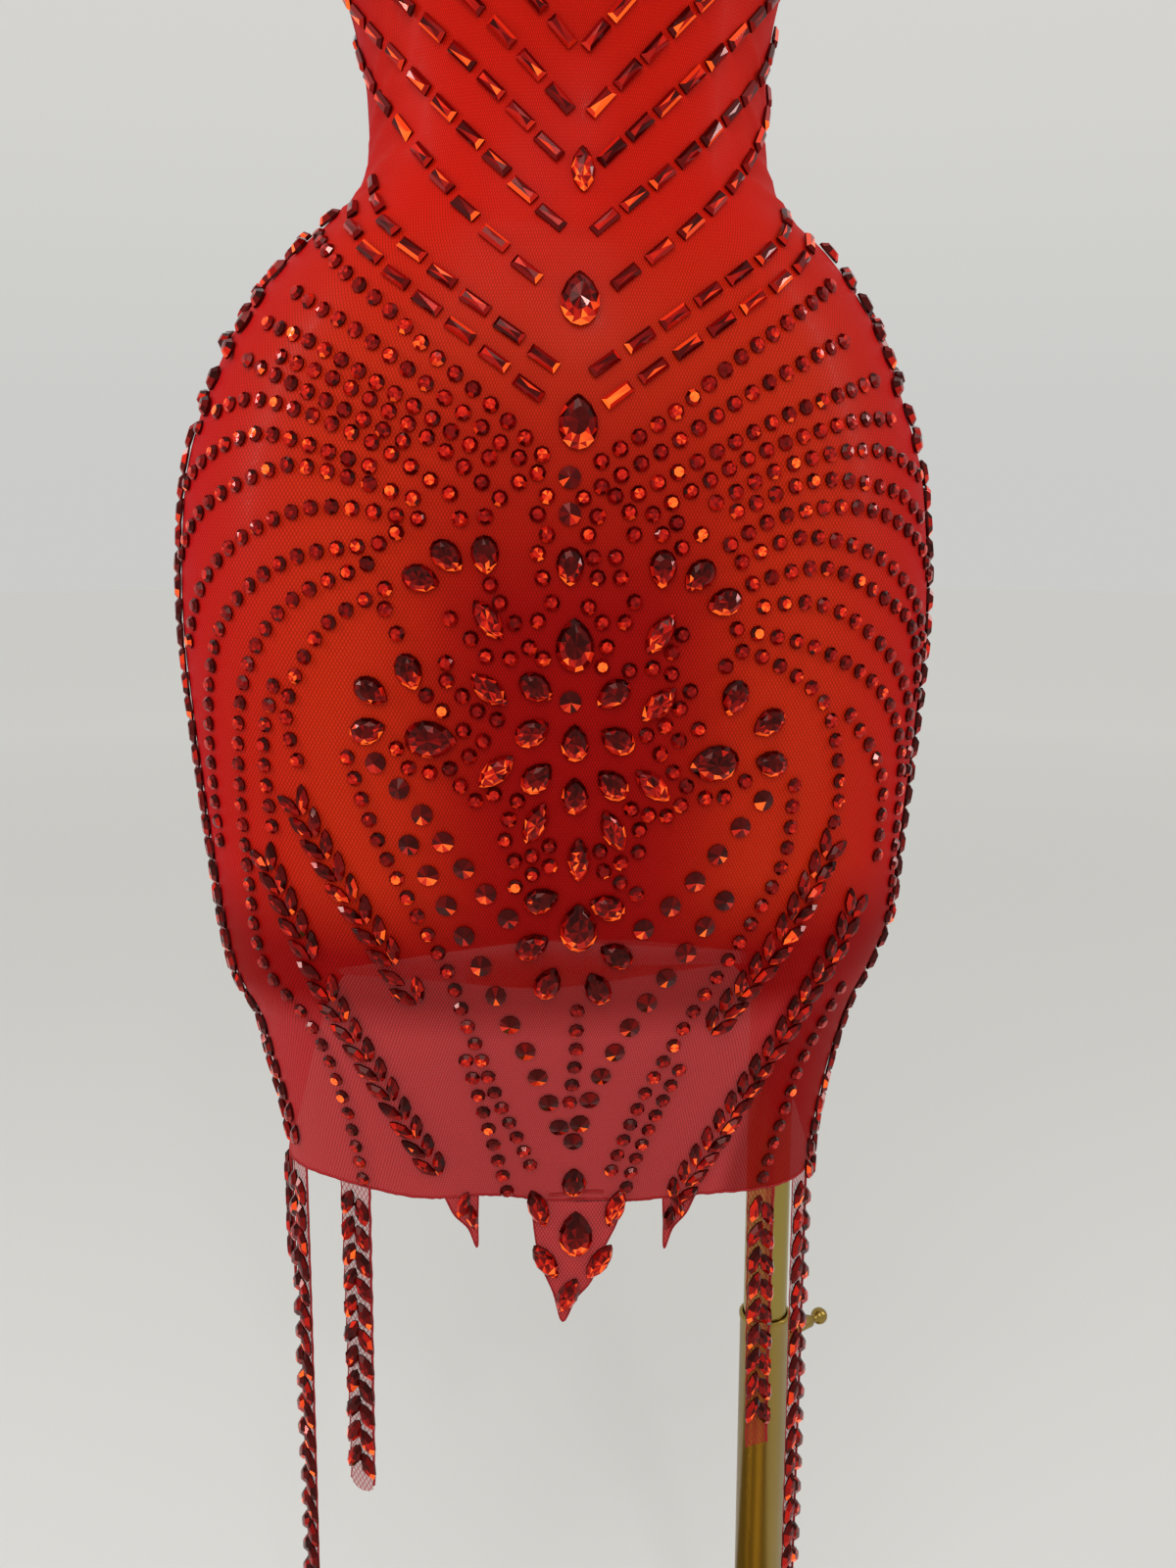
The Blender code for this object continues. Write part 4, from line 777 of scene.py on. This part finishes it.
pattern = {  # tables in mm
    "centre": [  # kind, bearing, station, heading
        ("marquise", 1, 1002, 0), ("bigDrop", 1, 945, 0), ("bigDrop", 1, 892, 0), ("round", -1, 868, 0),
        ("round", -1, 852, 0), ("drop", -1, 829, 180), ("bigDrop", 0, 794, 0), ("round", -1, 768, 0),
        ("drop", 0, 749, 0), ("drop", 0, 724, 0), ("marquise", 1, 693, 0), ("bigDrop", 1, 659, 0),
        ("drop", 4, 512, 0), ("round", 3, 538, 0)
    ],
    "flower": [
        ("drop", 31.5, 818, 255), ("drop", 26.5, 829, 225), ("drop", 19, 831, 185),
        ("drop", 34, 775, 200), ("drop", 41, 764, 240), ("drop", 42, 745, 285),
        ("bigDrop", 30.5, 744, 265), ("marquise", 18.5, 802, 35), ("marquise", 18.5, 770, 48),
        ("marquise", 17.5, 732, 132), ("marquise", 9, 709, 155), ("drop", 8.5, 773, 235),
        ("drop", 9.5, 752, 300), ("drop", 8.5, 731, 315), ("drop", 8, 671, 290),
        ("drop", 10.5, 647, 300), ("drop", 6.5, 629, 335)
    ],
    "vines": [
        ((56, 704), (49, 662), (38.5, 614)), ((63.5, 672), (54.5, 600), (43, 512)), ((84, 880),
        (83, 690), (79, 508))
    ],
    "sprigs": [  # three petals each, at the hips' sides
        (76, 975), (77, 951), (76, 926), (79, 900), (88, 962), (88, 934)
    ],
    "chevrons": [  # bearing and station of both ends, pitch
        (10, 905, 63, 983, 20), (7, 918, 62, 995, 20), (12, 956, 82, 1060, 19.5),
        (7, 979, 82, 1087, 18), (9, 1011, 82, 1118, 17.5), (6, 1032, 82, 1152, 17.5),
        (5, 1060, 82, 1186, 18), (5, 1092, 82, 1220, 19), (5, 1126, 82, 1252, 20)
    ],
    "backChevrons": [
        (98, 1083, 158, 1150, 19), (98, 1110, 158, 1180, 19), (98, 1141, 158, 1214, 20),
        (98, 1176, 158, 1250, 20)
    ],
    "roundRows": [  # larger rounds, from the flower's sides to the tip
        ((-41, 739), (-33, 715), (-25, 688), (-16, 664)), ((-36, 700), (-24, 645), (-11, 588),
        (-2, 547)), ((41, 718), (34, 697), (26, 674), (17, 657)), ((35, 669), (21, 622), (12, 586),
        (5, 549))
    ],
    "smallRows": [  # small rounds, charted row by row
        ((-7, 878), (-19, 901), (-30, 920), (-41, 941), (-50, 955), (-60, 970), (-68, 979)), ((-8, 870),
        (-25, 898), (-41, 924), (-50, 937), (-62, 951)), ((-6, 860), (-20, 879), (-37, 904), (-54, 927),
        (-66, 938)), ((-16, 859), (-31, 886), (-47, 909), (-60, 922)), ((-20, 861), (-36, 885),
        (-55, 908), (-67, 921)), ((-26, 861), (-43, 886), (-62, 903), (-73, 898), (-84, 884)),
        ((-41, 873), (-58, 887), (-66, 885), (-74, 875), (-84, 855)), ((-33, 859), (-52, 873),
        (-60, 870), (-72, 854), (-80, 832)), ((-32, 850), (-50, 855), (-63, 841), (-72, 817),
        (-77, 790)), ((-39, 839), (-54, 832), (-65, 809), (-71, 776), (-74, 732), (-75, 690)),
        ((-41, 830), (-54, 813), (-62, 784), (-66, 744), (-68, 675), (-68, 631), (-61, 602), (-59, 557),
        (-61, 510)), ((-38, 819), (-49, 800), (-56, 762), (-54, 728)), ((-58, 773), (-61, 741),
        (-61, 684)), ((-46, 741), (-42, 703), (-36, 666), (-29, 628), (-21, 566), (-13, 523)),
        ((-28, 588), (-26, 566), (-23, 506)), ((6, 875), (22, 896), (36, 920), (44, 932), (52, 944),
        (62, 957)), ((6, 864), (22, 883), (38, 905), (54, 925), (60, 931)), ((14, 861), (31, 880),
        (47, 898), (66, 914)), ((25, 862), (40, 880), (58, 894), (68, 896)), ((30, 857), (46, 875),
        (63, 881), (75, 870)), ((34, 853), (50, 867), (66, 862), (74, 850)), ((29, 833), (43, 851),
        (59, 854), (72, 839), (79, 820)), ((31, 826), (46, 841), (61, 832), (72, 807), (77, 780)),
        ((33, 818), (50, 827), (63, 811), (71, 794), (76, 760)), ((35, 809), (50, 810), (63, 788),
        (72, 757), (76, 720)), ((34, 800), (49, 790), (63, 767), (71, 734), (74, 691), (77, 640)),
        ((32, 783), (37, 789), (51, 765), (56, 724), (56, 703)), ((57, 756), (66, 722), (68, 680)),
        ((67, 609), (64, 574), (63, 532), (62, 502)), ((47, 724), (46, 682), (36, 632), (26, 577),
        (18, 518)), ((32, 578), (27, 534), (25, 506)), ((2, 626), (2, 584), (1, 552))
    ],
    "scatter": [  # single small rounds about the flower
        (-12, 866), (-19, 851), (-8, 852), (-6, 843), (-8, 835), (-7, 824), (-5, 813), (-8, 805),
        (-15, 839), (-16, 829), (-18, 821), (-16, 813), (-13, 804), (-10, 793), (-7, 788), (-14, 788),
        (-19, 789), (-22, 797), (-26, 806), (-27, 786), (-27, 778), (-24, 771), (-28, 764), (-31, 771),
        (-21, 764), (-17, 760), (-24, 755), (-20, 750), (-23, 743), (-27, 737), (-31, 735), (-35, 737),
        (-37, 746), (-25, 729), (-22, 722), (-18, 725), (-13, 722), (-15, 713), (-16, 703), (-14, 693),
        (-10, 695), (-6, 700), (-6, 690), (-10, 686), (-14, 680), (-33, 817), (-29, 815), (-36, 844),
        (-38, 810), (-36, 799), (-24, 850), (2, 859), (5, 851), (3, 843), (4, 833), (5, 824), (3, 811),
        (6, 804), (7, 793), (6, 784), (9, 860), (12, 853), (17, 852), (13, 843), (19, 843), (22, 848),
        (21, 857), (23, 837), (27, 843), (9, 833), (10, 824), (13, 813), (11, 804), (12, 782),
        (17, 783), (21, 790), (21, 780), (23, 798), (25, 772), (23, 764), (20, 756), (27, 754),
        (23, 749), (16, 752), (19, 743), (22, 734), (25, 727), (29, 721), (33, 721), (37, 728),
        (24, 718), (21, 713), (17, 714), (13, 717), (15, 707), (15, 696), (11, 691), (6, 697), (7, 687),
        (11, 681), (15, 675)
    ],
    "leafSplay": 27.0, "leafSide": 0.0046, "leafPitch": 0.0125, "smallPitch": 0.0104, "roundPitch": 0.0165,
    "petalReach": 0.0078, "petalHeadings": (40, 160, 280), "lastBearing": 89,
}


def mirrored(stones, kind, bearing, station, heading):
    for side in (1, -1):
        onBody(stones, kind, side * bearing, station + tilt(side, bearing, station), side * heading)


random.seed(4)
frontStones = StoneSet("crystals_front")
for kind, bearing, station, heading in pattern["centre"]:
    onBody(frontStones, kind, bearing, station / 1000, heading)
for kind, bearing, station, heading in pattern["flower"]:
    mirrored(frontStones, kind, bearing, station / 1000, heading)
for vine in pattern["vines"]:
    for bearing, station, heading in walkRow(vine, pattern["leafPitch"]):
        a = math.radians(heading)
        reach = np.linalg.norm(cloth(bearing, station)[0])
        for side in (1, -1):
            across = side * pattern["leafSide"]
            turnBy = math.degrees(across * math.cos(a) / reach)
            mirrored(frontStones, "leaf", bearing + turnBy, station - across * math.sin(a),
                     heading - side * pattern["leafSplay"])
for b0, s0, b1, s1, pitch in pattern["chevrons"]:
    for bearing, station, heading in walkRow(((b0, s0), (b1, s1)), pitch / 1000):
        mirrored(frontStones, "baguette", bearing, station, heading)
for bearing, station in pattern["sprigs"]:
    station = station / 1000
    reach = np.linalg.norm(cloth(bearing, station)[0])
    for heading in pattern["petalHeadings"]:
        a = math.radians(heading)
        petalAt = bearing + math.degrees(-pattern["petalReach"] * math.sin(a) / reach)
        mirrored(frontStones, "petal", min(petalAt, pattern["lastBearing"]),
                 station - pattern["petalReach"] * math.cos(a), heading)
for kind in ("round", "small"):
    for row in pattern[kind + "Rows"]:
        for bearing, station, heading in walkRow(row, pattern[kind + "Pitch"]):
            onBody(frontStones, kind, bearing, station, heading)
for bearing, station in pattern["scatter"]:
    onBody(frontStones, "small", bearing, station / 1000, 0)
backStones = StoneSet("crystals_back")
for b0, s0, b1, s1, pitch in pattern["backChevrons"]:
    for bearing, station, heading in walkRow(((b0, s0), (b1, s1)), pitch / 1000):
        onBody(backStones, "baguette", bearing, station, heading)
        onBody(backStones, "baguette", 360 - bearing, station, -heading)
crystalsFront, crystalsBack = frontStones.build(), backStones.build()
print("crystals set:", len(frontStones.placed), len(backStones.placed))


# loose ends below the hem

loose = {
    "gap": 0.0005, "pitch": 0.0150, "first": 0.011, "last": 0.012, "leafSide": 0.0040, "stagger": 0.004,
    "splay": 24.0, "turn": 6, "wobble": 0.0003, "wobbles": 420, "rightRoll": 0.0007, "leftRoll": 0.0003,
    "pointRoll": 0.0005, "stripSpacing": 0.003, "pointSpacing": 0.002, "curveSteps": 5,
    "strips": [  # name, bearing, length, top width, end width, drift, rounded
        ("tail_outer_left", -90.5, 0.080, 0.011, 0.008, 0.000, False),
        ("tail_long_left", -79.0, 0.300, 0.016, 0.012, -0.003, False),
        ("tail_second_left", -63.5, 0.176, 0.017, 0.014, -0.001, True),
        ("tail_long_right", 62.3, 0.154, 0.017, 0.014, 0.001, False),
        ("tail_far_right", 74.0, 0.308, 0.016, 0.012, -0.002, False)],
    "points": [  # name, bearing, shape, which way round, width and length
        ("point_left", -37.0, "side", 1, (0.017, 0.029)), ("point_right", 43.0, "side", -1, (0.017, 0.029)),
        ("point_centre", 5.0, "centre", 1, (0.048, 0.069))],
    "side": {
        "outline": [(-0.0085, 0.0), (-0.004, 0.010), (0.003, 0.018), (0.0075, 0.029), (0.0080, 0.014),
                    (0.0085, 0.0)],
        "stones": [("leaf", 0.0005, 0.0040, 200), ("leaf", 0.0050, 0.0110, 165)]},
    "centre": {
        "outline": [(-0.024, 0.0), (-0.022, 0.020), (-0.019, 0.036), (-0.012, 0.052), (-0.007, 0.069),
                    (0.000, 0.056), (0.008, 0.046), (0.015, 0.027), (0.022, 0.012), (0.024, 0.0)],
        "stones": [("marquise", -0.0200, 0.0040, -20), ("marquise", 0.0205, 0.0035, 20),
                   ("bigDrop", 0.000, 0.0185, 0), ("marquise", -0.0160, 0.0340, 145),
                   ("marquise", 0.0120, 0.0345, 220), ("marquise", -0.0040, 0.0535, 205)]},
}


def hangRules(bearing):
    centre = math.radians(bearing)
    reach = float(np.linalg.norm(skinFrame(centre, float(hemStation(centre)))[1]))

    def place(x, y, out=0.0009):
        turnBy = centre + np.asarray(x) / reach
        p, along, _, _ = skinFrame(turnBy, hemStation(turnBy))
        outward = np.cross(along, (0, 0, 1.0))
        outward = outward / np.linalg.norm(outward, axis=-1, keepdims=True)
        return p + outward * out + np.stack([0 * turnBy, 0 * turnBy, np.asarray(y) + 0 * turnBy], -1)

    return place


def hangStone(stones, place, kind, x, y, heading):
    e = 1e-4
    p = place(x, y, 0.0014 + random.uniform(0, 0.0006))
    right = (place(x + e, y) - place(x - e, y)) / (2 * e)
    right[2] = 0
    right = right / np.linalg.norm(right)
    lift = np.array([0, 0, 1.0])
    stones.add(kind, p, right, lift, np.cross(right, lift), heading, False)


looseStones = StoneSet("crystals_loose")
loosePieces, looseEdges, flatSizes = {}, [], {}
for name, bearing, length, top, end, drift, rounded in loose["strips"]:
    place = hangRules(bearing)
    rows = np.linspace(0, 1, 40)
    half = top / 2 + (end / 2 - top / 2) * rows
    middle = drift * rows**2
    down = -loose["gap"] - length * rows
    wobble = loose["wobble"] * np.sin(rows * length * loose["wobbles"])
    left = np.stack([middle - half + wobble, down], -1)
    right = np.stack([middle + half + wobble, down], -1)[::-1]
    turns = np.radians((210, 240, 270, 300, 330)) if rounded else []
    tip = [(drift + end / 2 * math.cos(a), down[-1] + end * 0.4 * math.sin(a)) for a in turns]
    edge = np.vstack([left] + ([tip] if tip else []) + [right])
    loosePieces[name] = clothSheet(name + "_net", edge, loose["stripSpacing"], place, netCoarse, looseState)
    flatSizes[name] = (top, length)
    looseEdges.append(rolledEdge(name + "_roll", place(right[:, 0], right[:, 1]), loose["rightRoll"]))
    looseEdges.append(rolledEdge(name + "_roll_left", place(left[:, 0], left[:, 1]), loose["leftRoll"]))
    count = int((length - loose["first"] - loose["last"]) / loose["pitch"]) + 1
    for k in range(count):
        for side in (-1, 1):
            fall = loose["first"] + k * loose["pitch"]
            sway = drift * (fall / length) ** 2 + side * loose["leafSide"]
            heading = 180 - side * loose["splay"] + random.uniform(-loose["turn"], loose["turn"])
            fall += loose["stagger"] if side > 0 else 0
            hangStone(looseStones, place, "navette", sway, -fall, heading)
for name, bearing, shape, flip, flatSizes[name] in loose["points"]:
    place = hangRules(bearing)
    outline = [(flip * x, -loose["gap"] - y) for x, y in loose[shape]["outline"]]
    path = throughPoints(outline, loose["curveSteps"])[::flip]
    loosePieces[name] = clothSheet(name + "_net", path, loose["pointSpacing"], place, netRed,
                                   lambda x, y: netState(0 * x, 0.5 + 0 * y))
    looseEdges.append(rolledEdge(name + "_roll", place(path[:, 0], path[:, 1]), loose["pointRoll"]))
    for kind, x, y, heading in loose[shape]["stones"]:
        hangStone(looseStones, place, kind, flip * x, -loose["gap"] - y, flip * heading)
crystalsLoose = looseStones.build()
looseRolls = joinPieces("loose_edges", looseEdges)
print("loose ends hung")


# form

formShape = {
    "gap": 0.0012, "shoulderGap": 0.0020, "from": 1.180, "to": 1.250, "rimFront": 0.652, "rimBack": 0.556,
    "neck": 1.570, "columns": 120, "rows": 160, "socket": 0.0138, "top": 0.6903, "under": 0.45,
    "poleX": 0.1255, "poleY": 0.024,
}


def closeOpenings():
    # caps the open rings of the piece in edit mode
    bpy.ops.mesh.select_all(action="DESELECT")
    bpy.ops.mesh.select_non_manifold(extend=False)
    bpy.ops.mesh.fill_holes(sides=0)
    bpy.ops.mesh.select_all(action="SELECT")
    bpy.ops.mesh.normals_make_consistent(inside=False)
    bpy.ops.object.mode_set(mode="OBJECT")


def buildForm():
    shape = formShape
    selectNone()
    bpy.ops.mesh.primitive_grid_add(x_subdivisions=shape["columns"], y_subdivisions=shape["rows"], size=2)
    piece = bpy.context.object
    piece.name = "form_body"
    co = np.zeros(len(piece.data.vertices) * 3)
    piece.data.vertices.foreach_get("co", co)
    co = co.reshape(-1, 3)
    b = co[:, 0] * math.pi
    front, back = shape["rimFront"], shape["rimBack"]
    rim = (front + back) / 2 + (front - back) / 2 * np.cos(b)
    s = rim + (shape["neck"] - rim) * (co[:, 1] + 1) / 2
    p, _, _, n = skinFrame(b, s)
    part = np.clip((s - shape["from"]) / (shape["to"] - shape["from"]), 0, 1)
    p = p - n * (shape["gap"] + (shape["shoulderGap"] - shape["gap"]) * part)[:, None]
    piece.data.vertices.foreach_set("co", p.ravel())
    piece.data.update()
    bpy.ops.object.mode_set(mode="EDIT")
    bpy.ops.mesh.select_all(action="SELECT")
    bpy.ops.mesh.remove_doubles(threshold=0.0001)
    closeOpenings()
    selectNone()
    middle = (shape["poleX"], shape["poleY"], (shape["top"] + shape["under"]) / 2)
    deep = shape["top"] - shape["under"]
    bpy.ops.mesh.primitive_cylinder_add(vertices=48, radius=shape["socket"], depth=deep, location=middle)
    cutter = bpy.context.object
    cut = piece.modifiers.new("socket", "BOOLEAN")
    cut.operation = "DIFFERENCE"
    cut.object = cutter
    applyModifiers(piece)
    bpy.data.objects.remove(cutter, do_unlink=True)
    piece.data.materials.clear()
    piece.data.materials.append(formTan)
    selectNone()
    piece.select_set(True)
    bpy.context.view_layer.objects.active = piece
    bpy.ops.object.shade_smooth_by_angle(angle=math.radians(40))
    return piece


formBody = buildForm()
print("form built")


# stand

stand = {
    "x": 0.1255, "y": 0.024, "mastRadius": 0.0130, "mast": (0.100, 0.690), "tubeRadius": 0.0150,
    "bore": 0.0136, "tubeTop": 0.374, "lip": 0.0006, "plateRadius": 0.210, "plate": 0.008,
    "flangeRadius": 0.034,
    "flange": 0.014, "flangeSlope": (0.0037, 0.0057), "flangeNeck": (0.006, 0.004), "boss": 0.352,
    "bossRadius": 0.0058, "bossReach": 0.0262, "rib": 0.0006, "ribDepth": 0.0007, "ribFrom": 0.0030,
    "ribPitch": 0.0034, "stem": 0.0026, "stemRoom": 0.0005, "shank": 0.0040, "ball": 0.0052, "reach": 0.0490,
    "neck": 0.002, "bearing": 34.0, "gap": 0.0003, "fineBevel": 0.0002, "plateBevel": 0.0015,
}


def turnedPiece(name, profile, sides, material, place, closed=False, axis=None, bevel=0.0004):
    # radius and height pairs, drawn out ring by ring from a circle
    selectNone()
    now, level = profile[0]
    bpy.ops.mesh.primitive_circle_add(vertices=sides, radius=now, fill_type="NOTHING", location=(0, 0, 0))
    piece = bpy.context.object
    piece.name = name
    bpy.ops.object.mode_set(mode="EDIT")
    bpy.ops.mesh.select_all(action="SELECT")
    bpy.ops.transform.translate(value=(0, 0, level))
    for radius, height in profile[1:] + ([profile[0]] if closed else []):
        bpy.ops.mesh.extrude_region_move(TRANSFORM_OT_translate={"value": (0, 0, height - level)})
        scale = max(radius, 1e-7) / now
        bpy.ops.transform.resize(value=(scale, scale, 1), center_override=(0, 0, 0))
        now, level = max(radius, 1e-7), height
    bpy.ops.mesh.select_all(action="SELECT")
    bpy.ops.mesh.remove_doubles(threshold=0.00001)
    closeOpenings()
    edge = piece.modifiers.new("easing", "BEVEL")
    edge.width = bevel
    edge.segments = 2
    edge.limit_method = "ANGLE"
    edge.angle_limit = math.radians(40)
    applyModifiers(piece)
    turn = Matrix.Identity(4)
    if axis:
        turn = Vector((0, 0, 1)).rotation_difference(Vector(axis)).to_matrix().to_4x4()
    piece.data.transform(Matrix.Translation(place) @ turn)
    piece.data.materials.append(material)
    bpy.ops.object.shade_smooth_by_angle(angle=math.radians(35))
    return piece


pole = (stand["x"], stand["y"], 0)
fine, lip, r, top = stand["fineBevel"], stand["lip"], stand["tubeRadius"], stand["tubeTop"]
low = stand["plate"] + stand["gap"]
mastPiece = turnedPiece("mast_tube", [(stand["mastRadius"], z) for z in stand["mast"]], 64, brassInner, pole)
tubeProfile = [(stand["bore"], low), (r, low), (r, top - 0.004), (r + lip, top - 0.003),
               (r + lip, top - 0.001), (r, top), (stand["bore"], top)]
tubePiece = turnedPiece("outer_tube", tubeProfile, 64, brass, pole, True, None, fine)
hole, f, end = r + 0.0004, stand["flangeRadius"], low + stand["flange"] - stand["gap"]
(firstRise, secondRise), (foot, neck) = stand["flangeSlope"], stand["flangeNeck"]
flangeProfile = [(hole, low), (f, low), (f, low + firstRise), (hole + foot, low + secondRise),
                 (hole + neck, end), (hole, end)]
flangePiece = turnedPiece("foot_flange", flangeProfile, 48, brass, pole, True)
plateProfile = [(stand["plateRadius"], 0.0), (stand["plateRadius"], stand["plate"])]
platePiece = turnedPiece("foot_plate", plateProfile, 96, brass, (0, 0, 0), bevel=stand["plateBevel"])
angle = math.radians(stand["bearing"])
screwAxis = (math.cos(angle), math.sin(angle), 0.0)
knob = (stand["x"], stand["y"], stand["boss"])
start, boss, reach, stem = r + stand["gap"], stand["bossRadius"], stand["bossReach"], stand["stem"]
bossProfile = [(stem + stand["stemRoom"], start), (boss, start)]
for k in (1, 0):
    at = reach - stand["ribFrom"] - k * stand["ribPitch"]
    bossProfile += [(boss, at - stand["rib"]), (boss - stand["ribDepth"], at), (boss, at + stand["rib"])]
bossProfile += [(boss, reach), (stem + stand["stemRoom"], reach)]
bossPiece = turnedPiece("screw_collar", bossProfile, 32, brass, knob, True, screwAxis, fine)
ball, tip = stand["ball"], stand["reach"]
neckAt = tip - ball - stand["neck"]
screwProfile = [(stem, start), (stem, reach + stand["gap"]), (stand["shank"], reach + stand["gap"]),
                (stand["shank"], neckAt - stand["neck"]), (stem, neckAt)]
for degrees in range(150, -1, -15):
    turn = math.radians(degrees)
    screwProfile.append((ball * math.sin(turn), tip + ball * math.cos(turn)))
screwPiece = turnedPiece("thumb_screw", screwProfile, 32, brass, knob, False, screwAxis, fine)
print("stand built")


# what rides on what

dressPieces = [netFront, netBack, edges, crystalsFront, crystalsBack, crystalsLoose, looseRolls]
standPieces = [tubePiece, bossPiece, flangePiece, platePiece]
for bodyName, riders in (("form", [*dressPieces, formBody, *loosePieces.values()]), ("mast", [mastPiece]),
                         ("stand", standPieces), ("screw", [screwPiece])):
    for piece in riders:
        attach(piece, bodyName)
replaced = {
    "dress_front": netFront, "dress_back": netBack, "form_torso": formBody, "stand_mast": mastPiece,
    "stand_tube": tubePiece, "screw_boss": bossPiece, "clamp_screw": screwPiece, "base_plate": platePiece,
    "base_flange": flangePiece, **loosePieces,
}
for node, piece in replaced.items():
    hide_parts(node)


# studio

studio = {
    "floorRadius": 14.0, "floorDrop": 0.0005, "floor": (0.74, 0.74, 0.72), "farFloor": (0.90, 0.90, 0.88),
    "fade": (0.8, 5.0), "horizon": (0.60, 0.60, 0.585), "above": (0.66, 0.655, 0.635), "skyRise": 0.30,
    "lights": [  # place, aim, width, height, watts
        ((-0.4, -1.7, 2.5), (0, 0, 0.9), 1.1, 1.1, 14), ((-1.50, -0.25, 1.45), (0, 0, 0.88), 0.10, 1.0, 8),
        ((1.50, -0.25, 1.45), (0, 0, 0.88), 0.10, 1.0, 5), ((0.25, -2.1, 2.0), (0, 0, 0.8), 0.14, 0.14, 4)],
}


def buildFloor():
    selectNone()
    bpy.ops.mesh.primitive_circle_add(vertices=96, radius=studio["floorRadius"], fill_type="NGON",
                                      location=(0, 0, -studio["floorDrop"]))
    floor = bpy.context.object
    floor.name = "studio_floor"
    material, tree, shader = startMaterial("paleFloor")
    spot = addNode(tree, "TexCoord", {}).outputs["Object"]
    away = addNode(tree, "VectorMath", {0: spot}, operation="LENGTH").outputs["Value"]
    first, last = studio["fade"]
    fade = addNode(tree, "MapRange", {"Value": away, "From Min": first, "From Max": last}).outputs["Result"]
    colour = mixColour(tree, fade, studio["floor"], studio["farFloor"])
    wire(shader, {"Base Color": colour, "Roughness": 0.85})
    floor.data.materials.append(material)


def buildLight():
    world = bpy.data.worlds.new("studioWorld")
    world.use_nodes = True
    tree = world.node_tree
    height = addNode(tree, "SeparateXYZ", {0: addNode(tree, "TexCoord", {}).outputs["Generated"]}).outputs[2]
    rise = addNode(tree, "MapRange", {"Value": height, "From Max": studio["skyRise"]},
                   interpolation_type="SMOOTHSTEP").outputs["Result"]
    wire(tree.nodes["Background"], {"Color": mixColour(tree, rise, studio["horizon"], studio["above"])})
    bpy.context.scene.world = world
    for k, (place, aim, width, height, watts) in enumerate(studio["lights"]):
        data = bpy.data.lights.new(f"softbox_{k}", "AREA")
        data.shape = "RECTANGLE"
        data.size, data.size_y = width, height
        data.energy = watts
        lamp = bpy.data.objects.new(f"softbox_{k}", data)
        lamp.location = place
        lamp.rotation_euler = (Vector(aim) - Vector(place)).to_track_quat("-Z", "Y").to_euler()
        bpy.context.scene.collection.objects.link(lamp)


view = {
    "distance": 0.783, "height": 0.859, "aside": 0.0155, "azimuth": -4.6, "pitch": 11.0, "lens": 22.5,
    "sensor": 24.0,
}


def buildCamera():
    az, pitch = math.radians(view["azimuth"]), math.radians(view["pitch"])
    ahead = Vector((-math.sin(az), math.cos(az), 0))
    right = Vector((math.cos(az), math.sin(az), 0))
    forward = ahead * math.cos(pitch) + Vector((0, 0, -math.sin(pitch)))
    upward = right.cross(forward)
    data = bpy.data.cameras.new("camera")
    data.lens, data.sensor_width = view["lens"], view["sensor"]
    data.sensor_fit = "AUTO"
    camera = bpy.data.objects.new("camera", data)
    turn = Matrix((right, upward, -forward)).transposed().to_4x4()
    turn.translation = -ahead * view["distance"] + right * view["aside"] + Vector((0, 0, view["height"]))
    camera.matrix_world = turn
    bpy.context.scene.collection.objects.link(camera)
    bpy.context.scene.camera = camera


buildFloor()
buildLight()
buildCamera()
bpy.context.scene.view_settings.view_transform = "Standard"
selectNone()
print("scene ready")
